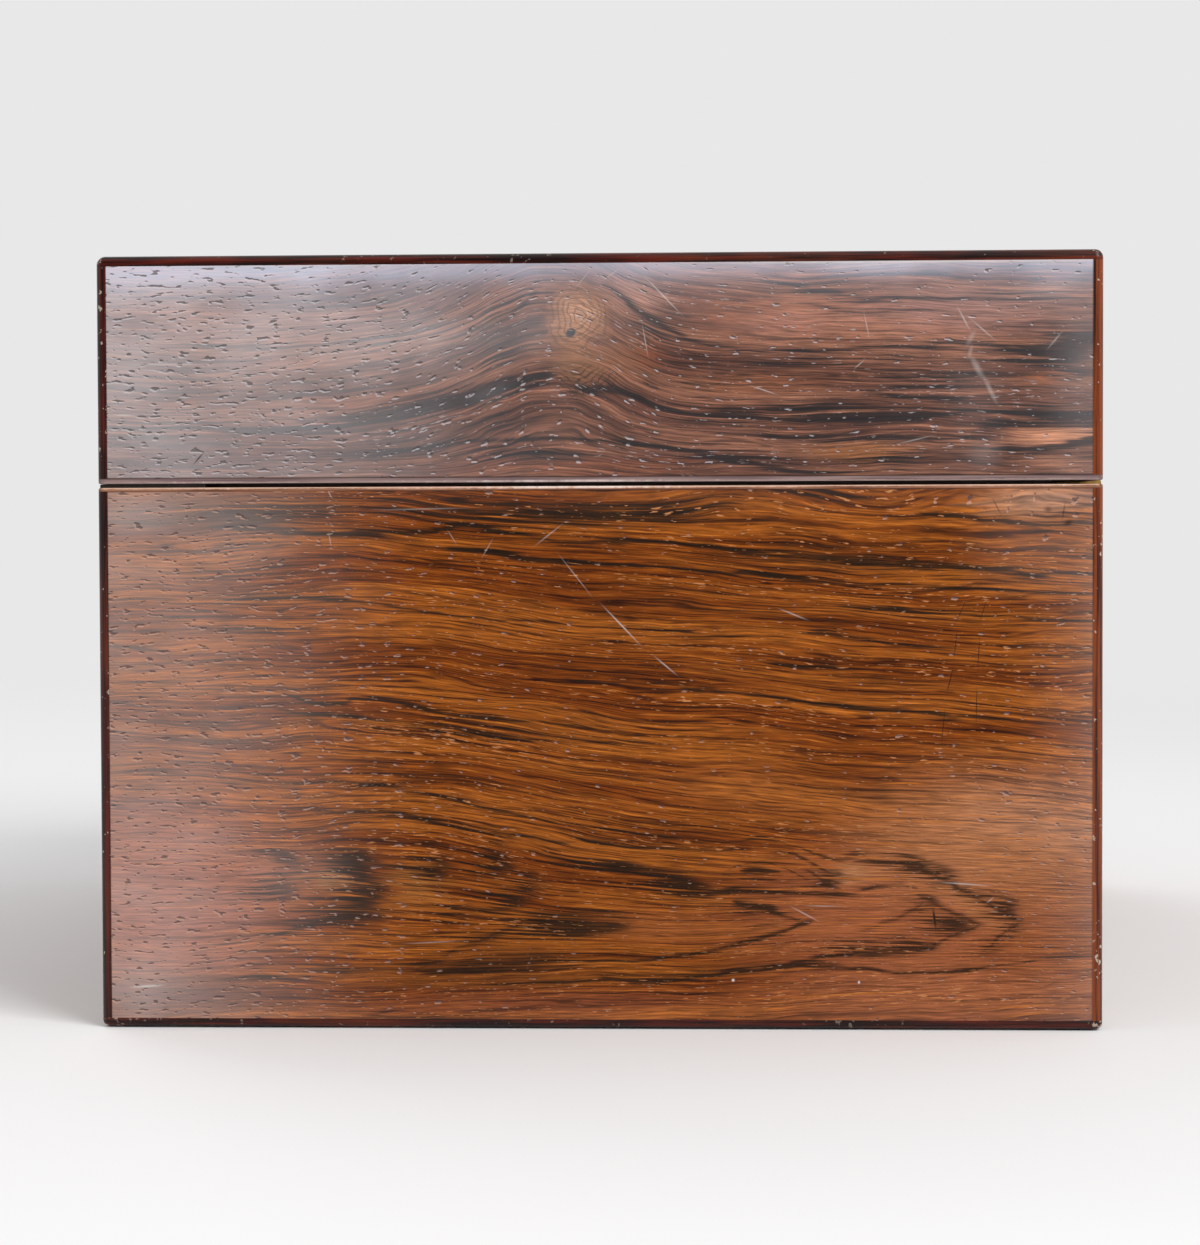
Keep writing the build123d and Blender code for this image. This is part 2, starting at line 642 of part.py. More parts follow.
with BuildPart() as lid_top_beads:
    with BuildSketch(Plane.XY.offset(TOP_BEAD_Z)):
        mitred_strips(HALF_X, HALF_Y, BEAD)
    extrude(amount=BEAD)
    add(lid_shape.part, mode=Mode.INTERSECT)

with BuildPart() as lid_rim_facings:
    with BuildSketch(Plane.XY.offset(LID_Z)):
        mitred_strips(HALF_X, HALF_Y, WALL)
    extrude(amount=LID_FACING)
    add(lid_shape.part, mode=Mode.INTERSECT)
    cut_hinge_seats(above=True)
    cut_link_mortise()


# Lid: link plate, mirror and linings

with BuildPart() as link_plate:
    block((-LINK_HALF_X, LINK_HALF_X), about(LOCK_Y, SELVEDGE_HALF_Y), (LID_Z, LID_Z + SELVEDGE))
    for staple_side in SIDES:
        staple_x = about(staple_side * STAPLE_X, STAPLE_THICKNESS / 2)
        block(staple_x, about(LOCK_Y, STAPLE_WIDTH / 2), (LID_Z - STAPLE_DROP, LID_Z))
        eye_z = (EYE_LOW_Z, EYE_LOW_Z + EYE_HEIGHT)
        block(staple_x, about(LOCK_Y, EYE_WIDTH / 2), eye_z, mode=Mode.SUBTRACT)
        screw_body(staple_side * LINK_SCREW_X, LOCK_Y, LID_Z, True, mode=Mode.SUBTRACT)

with BuildPart() as link_plate_screws:
    for screw_side in SIDES:
        screw_body(screw_side * LINK_SCREW_X, LOCK_Y, LID_Z, True)
        slot_turn = LINK_SLOT_TURN + LINK_SLOT_STEP * screw_side
        screw_slot(screw_side * LINK_SCREW_X, LOCK_Y, LID_Z, True, slot_turn)

GLASS_TOP_Z = CEILING_Z - MIRROR_BACKING
GLASS_FACE_Z = GLASS_TOP_Z - MIRROR_GLASS
PAD_FACE_Z = GLASS_TOP_Z - PAD_DEPTH

with BuildPart() as mirror_backing:
    block((-INNER_X, INNER_X), (-INNER_Y, INNER_Y), (GLASS_TOP_Z, CEILING_Z))

with BuildPart() as mirror_glass:
    block((-MIRROR_X, MIRROR_X), (-MIRROR_Y, MIRROR_Y), (GLASS_FACE_Z, GLASS_TOP_Z))

with BuildPart() as mirror_slip:
    with BuildSketch(Plane.XY.offset(GLASS_FACE_Z - SLIP_RISE)):
        mitred_strips(MIRROR_X + SLIP_OUTER, MIRROR_Y + SLIP_OUTER, SLIP_OUTER)
    extrude(amount=GLASS_TOP_Z - GLASS_FACE_Z + SLIP_RISE)
    with BuildSketch(Plane.XY.offset(GLASS_FACE_Z - SLIP_RISE)):
        mitred_strips(MIRROR_X + SLIP_OUTER, MIRROR_Y + SLIP_OUTER, SLIP_OUTER + SLIP_LIP)
    extrude(amount=SLIP_RISE)
    fillet(long_edges_at(mirror_slip, GLASS_FACE_Z - SLIP_RISE, MIRROR_Y), SLIP_RISE / 3)

PAD_WIDTH_X = INNER_X - MIRROR_X - SLIP_OUTER
PAD_WIDTH_Y = INNER_Y - MIRROR_Y - SLIP_OUTER

with BuildPart() as mirror_pad:
    with BuildSketch(Plane.XY.offset(PAD_FACE_Z)):
        mitred_strips(INNER_X, INNER_Y, PAD_WIDTH_X, PAD_WIDTH_Y)
    extrude(amount=PAD_DEPTH)
    fillet(long_edges_at(mirror_pad, PAD_FACE_Z, MIRROR_Y), PAD_ROUND)

with BuildPart() as lid_side_linings:
    with BuildSketch(Plane.XY.offset(RIM_Z + LIP_RISE + LINING_CLEARANCE)):
        mitred_strips(INNER_X, INNER_Y, LINING)
    extrude(amount=PAD_FACE_Z - RIM_Z - LIP_RISE - LINING_CLEARANCE)


# Tray

TRAY_INNER_X = TRAY_X - TRAY_WALL
TRAY_INNER_Y = TRAY_Y - TRAY_WALL
TRAY_FLOOR_Z = TRAY_Z + TRAY_FLOOR
DIVIDER_TOP_Z = TRAY_TOP_Z - DIVIDER_DROP
HALF_DIVIDER = TRAY_WALL / 2

with BuildPart() as tray_floor:
    block((-TRAY_X, TRAY_X), (-TRAY_Y, TRAY_Y), (TRAY_Z, TRAY_FLOOR_Z))

with BuildPart() as tray_walls:
    with BuildSketch(Plane.XY.offset(TRAY_FLOOR_Z)):
        mitred_strips(TRAY_X, TRAY_Y, TRAY_WALL)
    extrude(amount=TRAY_TOP_Z - TRAY_FLOOR_Z)
    fillet(long_edges_at(tray_walls, TRAY_TOP_Z, TRAY_INNER_Y), TRAY_WALL / 3)

with BuildPart() as tray_dividers:
    block((-TRAY_INNER_X, TRAY_INNER_X), about(BACK_ROW_Y, HALF_DIVIDER), (TRAY_FLOOR_Z, DIVIDER_TOP_Z))
    block(about(BACK_SPLIT_X, HALF_DIVIDER), (BACK_ROW_Y + HALF_DIVIDER + GLUE_GAP, TRAY_INNER_Y),
          (TRAY_FLOOR_Z, DIVIDER_TOP_Z))
    for divider_x in (ROLL_BAY_X, SQUARE_BAYS_X):
        block(about(divider_x, HALF_DIVIDER), (-TRAY_INNER_Y, BACK_ROW_Y - HALF_DIVIDER - GLUE_GAP),
              (TRAY_FLOOR_Z, DIVIDER_TOP_Z))
    block((SQUARE_BAYS_X + HALF_DIVIDER + GLUE_GAP, TRAY_INNER_X), about(SQUARE_SPLIT_Y, HALF_DIVIDER),
          (TRAY_FLOOR_Z, DIVIDER_TOP_Z))
    fillet(long_edges_at(tray_dividers, DIVIDER_TOP_Z, 2 * TRAY_WALL), TRAY_WALL / 3)


def tray_bays():
    """The X and Y limits of each compartment of the tray, the ring roll's bay first."""
    front = (-TRAY_INNER_Y, BACK_ROW_Y - HALF_DIVIDER)
    back = (BACK_ROW_Y + HALF_DIVIDER, TRAY_INNER_Y)
    right = (SQUARE_BAYS_X + HALF_DIVIDER, TRAY_INNER_X)
    return [
        ((-TRAY_INNER_X, ROLL_BAY_X - HALF_DIVIDER), front),
        ((ROLL_BAY_X + HALF_DIVIDER, SQUARE_BAYS_X - HALF_DIVIDER), front),
        (right, (-TRAY_INNER_Y, SQUARE_SPLIT_Y - HALF_DIVIDER)),
        (right, (SQUARE_SPLIT_Y + HALF_DIVIDER, BACK_ROW_Y - HALF_DIVIDER)),
        ((-TRAY_INNER_X, BACK_SPLIT_X - HALF_DIVIDER), back),
        ((BACK_SPLIT_X + HALF_DIVIDER, TRAY_INNER_X), back),
    ]


with BuildPart() as tray_pads:
    for bay_x, bay_y in tray_bays()[1:]:
        block(bay_x, bay_y, (TRAY_FLOOR_Z, TRAY_FLOOR_Z + TRAY_PAD))

with BuildPart() as ring_rolls:
    roll_bay_x, roll_bay_y = tray_bays()[0]
    roll_x = (roll_bay_x[0] + ROLL_CLEARANCE, roll_bay_x[1] - ROLL_CLEARANCE)
    roll_start = roll_bay_y[0] + ROLL_CLEARANCE
    roll_pitch = (roll_bay_y[1] - roll_bay_y[0] - 2 * ROLL_CLEARANCE) / ROLL_COUNT
    roll_end = roll_start + ROLL_COUNT * roll_pitch
    block(roll_x, (roll_start, roll_end), (TRAY_FLOOR_Z, TRAY_FLOOR_Z + ROLL_BACKING))
    for i in range(ROLL_COUNT):
        with BuildSketch(Plane.YZ.offset(roll_x[0])):
            with Locations((roll_start + (i + 0.5) * roll_pitch, TRAY_FLOOR_Z + ROLL_BACKING)):
                Ellipse(roll_pitch / 2, ROLL_CROWN)
                Rectangle(roll_pitch, ROLL_CROWN * 2, align=(Align.CENTER, Align.MAX), mode=Mode.SUBTRACT)
        extrude(amount=roll_x[1] - roll_x[0])

with BuildPart() as tray_pulls:
    for pull_side in SIDES:
        face_x = pull_side * (TRAY_INNER_X - PULL_THICKNESS / 2)
        tongue_z = TRAY_TOP_Z + PULL_THICKNESS / 2
        with BuildLine(Plane.XZ) as pull_path:
            FilletPolyline(
                (face_x, tongue_z - PULL_TAIL),
                (face_x, tongue_z),
                (face_x - pull_side * PULL_TONGUE, tongue_z + PULL_RISE),
                radius=PULL_BEND,
            )
        with BuildSketch(Plane(origin=(face_x, 0, tongue_z - PULL_TAIL), z_dir=(0, 0, 1))):
            Rectangle(PULL_THICKNESS, PULL_WIDTH)
        sweep(path=pull_path.line)


keep(case_front_board, "case_front_board")
keep(case_back_board, "case_back_board")
keep(case_end_board(-1), "case_left_board")
keep(case_end_board(1), "case_right_board")
keep(case_bottom_board, "case_bottom_board")
keep(base_cloth, "base_cloth")
keep(case_front_veneer, "case_front_veneer")
keep(case_back_veneer, "case_back_veneer")
keep(end_veneer(-1, BASE_BEAD_Z, CASE_FACING_Z), "case_left_veneer")
keep(end_veneer(1, BASE_BEAD_Z, CASE_FACING_Z), "case_right_veneer")
keep(corner_beads(case_shape, BASE_BEAD_Z, CASE_FACING_Z), "case_corner_beads")
keep(case_base_beads, "case_base_beads")
keep(case_rim_facings, "case_rim_facings")
keep(case_liners, "case_liners")
keep(floor_pad, "floor_pad")
keep(tray_ledges, "tray_ledges")
keep(lock_case, "lock_case")
keep(lock_cap, "lock_cap")
keep(lock_selvedge, "lock_selvedge")
keep(lock_drill_pin, "lock_drill_pin")
keep(lock_bolt, "lock_bolt")
keep(lock_spring, "lock_spring")
keep(lock_screws, "lock_screws")
keep(escutcheon, "escutcheon")
keep(hinge_leaf(HINGE_CENTRES_X[0], above=False), "left_hinge_case_leaf")
keep(hinge_leaf(HINGE_CENTRES_X[1], above=False), "right_hinge_case_leaf")
keep(hinge_leaf(HINGE_CENTRES_X[0], above=True), "left_hinge_lid_leaf")
keep(hinge_leaf(HINGE_CENTRES_X[1], above=True), "right_hinge_lid_leaf")
keep(hinge_screws(above=False), "case_hinge_screws")
keep(hinge_screws(above=True), "lid_hinge_screws")
keep(hinge_pins, "hinge_pins")
keep(lid_front_board, "lid_front_board")
keep(lid_back_board, "lid_back_board")
keep(lid_end_board(-1), "lid_left_board")
keep(lid_end_board(1), "lid_right_board")
keep(lid_top_board, "lid_top_board")
keep(lid_top_veneer, "lid_top_veneer")
keep(lid_front_veneer, "lid_front_veneer")
keep(lid_back_veneer, "lid_back_veneer")
keep(end_veneer(-1, LID_FACING_Z, TOP_BEAD_Z), "lid_left_veneer")
keep(end_veneer(1, LID_FACING_Z, TOP_BEAD_Z), "lid_right_veneer")
keep(corner_beads(lid_shape, LID_FACING_Z, TOP_BEAD_Z), "lid_corner_beads")
keep(lid_top_beads, "lid_top_beads")
keep(lid_rim_facings, "lid_rim_facings")
keep(link_plate, "link_plate")
keep(link_plate_screws, "link_plate_screws")
keep(mirror_backing, "mirror_backing")
keep(mirror_glass, "mirror_glass")
keep(mirror_slip, "mirror_slip")
keep(mirror_pad, "mirror_pad")
keep(lid_side_linings, "lid_side_linings")
keep(tray_floor, "tray_floor")
keep(tray_walls, "tray_walls")
keep(tray_dividers, "tray_dividers")
keep(tray_pads, "tray_pads")
keep(ring_rolls, "ring_rolls")
keep(tray_pulls, "tray_pulls")

print(len(NODES), "nodes written")
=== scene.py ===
from math import cos, pi, radians, sin
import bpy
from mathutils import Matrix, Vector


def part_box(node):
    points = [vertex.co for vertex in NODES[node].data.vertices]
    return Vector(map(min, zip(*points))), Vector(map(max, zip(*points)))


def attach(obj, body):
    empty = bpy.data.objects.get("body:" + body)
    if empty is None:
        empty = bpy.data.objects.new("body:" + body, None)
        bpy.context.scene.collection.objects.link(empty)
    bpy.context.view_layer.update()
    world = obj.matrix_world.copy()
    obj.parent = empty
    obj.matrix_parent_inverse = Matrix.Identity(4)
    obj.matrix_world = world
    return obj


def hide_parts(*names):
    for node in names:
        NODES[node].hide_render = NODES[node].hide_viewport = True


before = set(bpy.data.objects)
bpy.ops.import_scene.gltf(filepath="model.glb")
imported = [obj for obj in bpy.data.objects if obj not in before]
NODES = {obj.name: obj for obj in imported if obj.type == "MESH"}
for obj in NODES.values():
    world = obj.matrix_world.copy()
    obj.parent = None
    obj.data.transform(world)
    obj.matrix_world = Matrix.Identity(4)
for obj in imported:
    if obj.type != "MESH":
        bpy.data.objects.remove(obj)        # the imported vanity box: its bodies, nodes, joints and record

from types import SimpleNamespace

import bmesh
import bpy
from bpy.props import FloatProperty, FloatVectorProperty, PointerProperty
from mathutils import Matrix, Vector, noise

bl_info = {
    "name": "Rosewood Vanity Box",
    "version": (1, 0, 0),
    "blender": (4, 5, 0),
    "location": "View3D > Sidebar > Vanity Box",
    "description": "Finishes, upholstery and stage for a rosewood vanity box",
    "category": "Add Mesh",
}

# Lengths in this file are millimetres unless a name ends in _M; MM turns them into metres
MM = 0.001
PER_MM = 1000.0

# The box's left and right ends, by the sign of X
SIDES = {-1: "left", 1: "right"}

# How far the mirror's slip frame covers the glass, and the distance within which a mesh's points are joined
SLIP_WIDE = 10.0
WELD = 0.002

# Sockets of the colour mix node, which names several of them alike
FACTOR, UNDER, OVER = 0, 6, 7

# A range that runs on past its ends, and one that eases in and out between them
OPEN = {"clamp": False}
SOFT = {"clamp": False, "interpolation_type": "SMOOTHSTEP"}

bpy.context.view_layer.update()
BASE_LOW, BASE_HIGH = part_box("case_base_beads")
BOX_HALF_X = (BASE_HIGH[0] - BASE_LOW[0]) / 2
BOX_HALF_Y = (BASE_HIGH[1] - BASE_LOW[1]) / 2


def linear(code):
    """An sRGB hex code as a linear colour with full opacity."""
    parts = [int(code[i:i + 2], 16) / 255 for i in (0, 2, 4)]
    return tuple(p / 12.92 if p <= 0.04045 else ((p + 0.055) / 1.055) ** 2.4 for p in parts) + (1.0,)


def opaque(colour, factor=1.0, lift=0.0):
    """A colour setting with full opacity, made darker or lighter by the factor and the lift."""
    return (*[value * factor + lift for value in colour], 1.0)


def add(tree, kind, *values, sockets=None, curves=None, **named):
    """Adds a shader node, and fills its sockets with values or with links.

    values fill the first sockets in turn. A name with a capital is a socket's and any other is a
    setting's, and sockets gives the ones that are told apart by number. A node given as a value is linked
    from its first output in use. curves are a curve node's points, one list for each curve.
    """
    made = tree.nodes.new("ShaderNode" + kind)
    filled = {**dict(enumerate(values)), **(sockets or {})}
    for key, value in named.items():
        if key[0].isupper():
            filled[key.replace("_", " ")] = value
        else:
            setattr(made, key, value)
    for key, value in filled.items():
        if isinstance(value, bpy.types.Node):
            value = next(out for out in value.outputs if out.enabled)
        if isinstance(value, bpy.types.NodeSocket):
            tree.links.new(value, made.inputs[key])
        else:
            made.inputs[key].default_value = value
    if curves:
        made.mapping.extend = "HORIZONTAL"
        for curve, points in zip(made.mapping.curves, curves):
            curve.points[0].location = points[0]
            curve.points[1].location = points[-1]
            for point in points[1:-1]:
                curve.points.new(*point)
            for point in curve.points:
                point.handle_type = "AUTO_CLAMPED"
        made.mapping.update()
    return made


def cleared_tree(block):
    """The empty node tree of a new material or world."""
    block.use_nodes = True
    block.node_tree.nodes.clear()
    return block.node_tree


def new_material(name, **sockets):
    """A new material with its shader, whose uniform sockets are set by name. Returns material, tree and
    shader."""
    material = bpy.data.materials.new(name)
    tree = cleared_tree(material)
    shader = add(tree, "BsdfPrincipled", **sockets)
    add(tree, "OutputMaterial", Surface=shader)
    return material, tree, shader


def surface(tree, shader, colour, rough=None, relief=None, strength=0.5, depth=0.1):
    """Gives a shader its colour, its roughness and its fine relief, which is depth millimetres deep."""
    tree.links.new(colour.outputs[2], shader.inputs["Base Color"])
    if rough:
        tree.links.new(rough.outputs[0], shader.inputs["Roughness"])
    if relief:
        bump = add(tree, "Bump", Height=relief, Strength=strength, Distance=depth * MM)
        tree.links.new(bump.outputs[0], shader.inputs["Normal"])


def dress(material, *names):
    """Gives CAD nodes their finish, in every slot that they have."""
    for name in names:
        mesh = NODES[name].data
        if not mesh.materials:
            mesh.materials.append(material)
        for i in range(len(mesh.materials)):
            mesh.materials[i] = material


# Rosewood figure of the photographed end, in millimetres. Places are (along, up) on the panel: along is the
# box's Y and up its Z. flow and rise say how far the grain swings up at each place. A vein is a list of
# (along, up, half width, depth of colour). A patch, cloud, scratch or dent is an oval: its middle, its two
# half widths, its turn in degrees and its depth, and a tint has its colour before the depth. Some of the
# pale scratch ovals are painted highlights along an edge. The bloom of worn polish, mixed with a painted
# sheen of reflected light, is given along the panel and up it, with its two colours. The pale rims beside
# the pores are a painted highlight, and pores and flecks say how many there are along it.

END_SPAN = 230.0
END_RISE = 180.0
FINE_DRIFT = ((70, 24, 1.5), (28, 9, 0.4), (9, 3, 0.12))

LID_END = {
    "seed": 3.1,
    "span": END_SPAN, "height": END_RISE, "base": 0.0, "drift": FINE_DRIFT, "wild": 0.0,
    "flow": [(-115, 0), (-65, 0), (-50, 0.12), (-40, 0.28), (-30, 0.52), (-20, 0.84), (-9, 1), (-1, 0.86),
             (9, 0.48), (20, 0.2), (32, 0.1), (50, 0), (115, 0)],
    "rise": [(124, 2), (131, 4), (139, 9), (146, 11), (157, 12), (168, 13), (178, 14)],
    "wood": ("9a664e", "573327", "231513", "151214"),
    "lines": 0.9,
    # The first colour on the next line is the painted highlight on the pores' rims
    "pore_highlights": "d0c8cc", "bold": 1.45,
    "veins": [
        [(-115, 137.6, 1.2, 0.55), (-95, 137.7, 1.2, 0.6), (-75, 137.3, 1.4, 0.75), (-62, 137.8, 1.6, 0.85),
         (-50, 139.6, 1.9, 0.9), (-42, 141, 1.9, 0.95), (-33, 143.6, 2.4, 1), (-25, 145.8, 2.7, 1),
         (-17, 147.9, 2, 0.95), (-11, 149.3, 1.2, 0.7), (-8, 149.6, 0.6, 0)],
        [(-9, 147, 0.6, 0), (-5, 145.6, 1.2, 0.8), (1, 146.2, 1.4, 0.95), (6, 145.2, 1.4, 0.9),
         (10, 143.6, 1.1, 0.85), (16, 141.5, 1.1, 0.8), (23, 140.2, 1.1, 0.8), (32, 140.2, 1.6, 1),
         (42, 139.8, 1.3, 0.8), (55, 139.5, 1.6, 1), (70, 139.5, 2, 1), (77, 139.8, 1.2, 0.7),
         (90, 140.2, 0.8, 0.5), (100, 139.6, 1.5, 0.85), (115, 139, 2.2, 1)],
        [(-115, 155.8, 2.2, 0.35), (-95, 155.2, 2.2, 0.4), (-80, 155.6, 2, 0.45), (-60, 157.2, 2, 0.4),
         (-46, 159.5, 2, 0.45), (-33, 161.5, 1.8, 0.45), (-24, 165, 1.8, 0.5), (-16, 169, 1.8, 0.45),
         (-9, 172.5, 1.5, 0.3), (-5, 174, 1, 0)],
        [(-40, 157.5, 1.2, 0), (-28, 159.5, 1.5, 0.4), (-20, 162.5, 1.5, 0.5), (-15, 167, 1.2, 0.4),
         (-11, 171, 1, 0.2), (-8, 173, 1, 0)],
        [(0, 170.5, 1, 0), (5, 167.5, 1.3, 0.6), (10, 163.5, 1.6, 0.75), (15, 160.5, 1.6, 0.75),
         (20, 157.8, 1.3, 0.7), (27, 155.9, 1.2, 0.65), (38, 154.3, 1.3, 0.6), (50, 154.3, 1.4, 0.6),
         (62, 154.9, 1.2, 0.6), (72, 155.3, 1.1, 0.65), (82, 156, 1.1, 0.7), (90, 155.2, 1.1, 0.7),
         (97, 154.6, 1.2, 0.8), (105, 155.6, 2.2, 0.9), (115, 157, 3, 0.9)],
        [(28, 172.5, 0.8, 0), (38, 170.5, 1.2, 0.5), (50, 168, 1.5, 0.6), (62, 166, 1.6, 0.6),
         (75, 165.8, 1.2, 0.5), (90, 166.5, 1.2, 0.4), (104, 166, 1, 0.3), (115, 166, 1, 0.2)],
        [(40, 166.5, 0.8, 0), (55, 164, 1, 0.5), (66, 163, 1, 0.5), (80, 163.8, 0.8, 0.3),
         (90, 164, 0.8, 0)],
        [(15, 148, 0.6, 0), (25, 147.2, 0.8, 0.5), (40, 146.8, 0.8, 0.5), (55, 146, 0.8, 0.4),
         (64, 144.8, 1, 0.7), (72, 144, 0.9, 0.5), (80, 143.8, 1, 0.6), (88, 144.2, 0.9, 0.6),
         (96, 143.5, 0.8, 0.3), (104, 143, 0.8, 0)],
        [(60, 149.3, 0.6, 0), (70, 149.2, 0.9, 0.5), (80, 149.2, 0.9, 0.5), (92, 149.6, 0.6, 0)],
        [(-62, 130.2, 0.8, 0), (-52, 131, 1.1, 0.5), (-43, 132.2, 1.5, 0.8), (-36, 133.2, 1.2, 0.7),
         (-27, 134.3, 1, 0.6), (-15, 134.9, 0.9, 0.7), (-4, 134.6, 0.9, 0.75), (6, 133.5, 0.9, 0.75),
         (13, 133.2, 0.9, 0.75), (20, 131.9, 1.1, 0.8), (28, 130.2, 1.2, 0.85), (36, 128.7, 1.3, 0.8),
         (46, 127.4, 1.3, 0.7), (60, 126.8, 1, 0.3), (70, 126.5, 0.8, 0)],
        [(36, 135.2, 0.6, 0), (44, 134.7, 0.9, 0.7), (55, 134.9, 0.8, 0.6), (63, 134.7, 0.9, 0.8),
         (72, 134.2, 0.9, 0.8), (80, 134, 0.8, 0.5), (86, 133.5, 0.8, 0)],
        [(84, 136.5, 1, 0), (87, 137, 2, 0.6), (91, 138, 1.6, 0.7), (98, 138.4, 1.2, 0.7),
         (106, 138.2, 1.2, 0.7), (115, 137.5, 1.2, 0.6)],
        [(88, 131.8, 1, 0), (92, 132.4, 1.3, 0.7), (97, 132, 0.8, 0.95), (104, 132.3, 0.7, 0.95),
         (109, 133.2, 1.3, 1), (115, 134, 1.6, 1)],
    ],
    "patches": [
        (-20, 154, 12, 7, 20, 0.5), (-18, 139.5, 18, 5, 5, 0.45), (104, 154, 15, 6, 8, 0.9),
        (-33, 143, 13, 3.4, 18, 0.5), (108, 150, 8, 2.2, 0, 0.66), (86.5, 135, 4.5, 4.4, 0, 0.66),
        (68, 129, 15, 3, 0, 0.55), (97, 153, 6, 2.4, 10, 0.55), (48, 151.5, 16, 2, 0, 0.5),
        (50, 141, 34, 3, 0, 0.6), (15, 158, 12, 2.6, -35, 0.5), (100, 131.5, 14, 1.6, 0, 0.6),
        (-60, 138, 22, 2.6, 2, 0.45), (-46, 133, 34, 6, 6, 0.5), (-14, 132, 26, 5, 0, 0.45),
        (30, 130, 34, 2.4, -4, 0.5), (82, 147, 9, 3, 0, 0.45), (100, 139.8, 17, 4.4, 0, 0.85),
    ],
    "tints": [
        (56, 161, 44, 8, -2, "a0664c", 0.85), (28, 162, 14, 7, -30, "8f553c", 0.6),
        (12, 153.5, 4, 4.4, 0, "6e2c0c", 0.8), (5, 153, 12, 8, 0, "8d5c40", 0.5),
        (8, 167, 13, 7, -20, "a87866", 0.7), (44, 159.5, 20, 4, 0, "9c6856", 0.7),
        (82, 163, 34, 8, 0, "94685c", 0.8), (58, 131, 19, 3.6, -3, "90582c", 0.7),
        (-5, 128.5, 40, 3, 0, "7e452a", 0.6), (103, 135.2, 15, 3.4, 0, "b87c5c", 1.2),
        (104, 129, 12, 2.6, 0, "9c6a52", 0.7), (34, 147, 24, 3.6, -4, "8a5335", 0.6),
        (101, 148.5, 8, 2.6, 15, "8a4e2a", 0.6), (-74, 161, 40, 5, 2, "a8796a", 0.5),
    ],
    "knot": {
        "eye": (-4, 162.3, 8.2, 9.6, -12), "heart": (-5.8, 158.8, 1.6, 1.3, 35),
        "glow": (-4, 151.5, 8.5, 5.5, 0), "arcs": (-3, 148, 10, 4.5, 0),
    },
    # Bloom of worn polish mixed with a painted sheen of reflected light: strongest at the left edge and
    # along the top edge, where the bluish colour is a painted reflection
    "bloom_and_sheen_along": [(-115, 0.78), (-90, 0.7), (-60, 0.48), (-40, 0.3), (-20, 0.12), (0, 0.07), (20, 0.05),
                   (50, 0.04), (80, 0.06), (95, 0.07), (115, 0.24)],
    "bloom_and_sheen_up": [(124, 0.04), (128, 0), (150, 0), (160, 0.05), (168, 0.16), (171, 0.28), (173, 0.46),
                (175, 0.6)],
    "bloom_and_sheen": ("a09c9e", "b0b6c6"),
    "clouds": [
        (85, 142, 10, 24, 0, 0.06), (88, 131, 6, 5, 0, 0.16), (-13, 159, 8, 8, 0, 0.1),
        (108, 150, 9, 22, 0, 0.1), (104, 169, 12, 6, 0, 0.16), (-24, 145, 9, 3, 15, 0.12),
        (-42, 156, 62, 14, 6, 0.22), (68, 173.5, 26, 4.5, 0, 0.24), (-72, 132, 44, 9, 0, -0.14),
    ],
    "pores": (0.85, "46403f", [(-115, 1), (-60, 0.85), (-20, 0.6), (115, 0.45)]),
    "flecks": (0.6, "b8a8a8",
               [(-115, 0.3), (-60, 0.5), (-40, 1), (-30, 0.7), (10, 0.7), (60, 0.7), (115, 0.6)]),
    "scratches_and_highlights": [
        (15.3, 167, 8.4, 0.28, -46, 0.5), (11.1, 157, 5.2, 0.22, -80, 0.4),
        (61.2, 160, 4.2, 0.25, -78, 0.35), (38, 145.6, 4.4, 0.25, -19, 0.5),
        (59.5, 151.3, 2.2, 0.25, 40, 0.4), (83, 161.5, 4.3, 0.3, -62, 0.45),
        (87.3, 159, 5.2, 0.28, -41, 0.4), (84.6, 157, 2.8, 0.9, 62, 0.2), (84.5, 154, 2.4, 0.7, 75, 0.2),
        (86, 150.5, 4.2, 1.1, -62, 0.28), (89, 145.3, 4.6, 0.8, -64, 0.28), (3.5, 172, 3, 0.22, 35, 0.35),
        (103.5, 156.5, 3.6, 0.35, 50, 0.3), (-3, 171, 4, 0.2, 50, 0.3), (72, 134.2, 6, 0.3, 13, 0.3),
        (-108, 140.7, 4, 0.3, 0, 0.5), (-98, 152.2, 14, 0.35, 0, 0.45), (-101, 150.8, 5, 0.3, -4, 0.5),
        # These two long pale lines along the panel's top edge are painted highlights where it meets the top
        # bead
        (70, 174.4, 75, 0.5, 0, 0.7), (-70, 174.4, 60, 0.35, 0, 0.4),
    ],
    "dents": [
        (-91, 130.8, 2.6, 0.3, 49, 0.9), (-113, 150.2, 2.2, 0.3, 88, 0.6), (112.4, 150, 0.7, 900, 0, 1.0),
        (-112.4, 150, 0.6, 900, 0, 0.7), (0, 126.1, 900, 0.5, 0, 1.0),
    ],
}

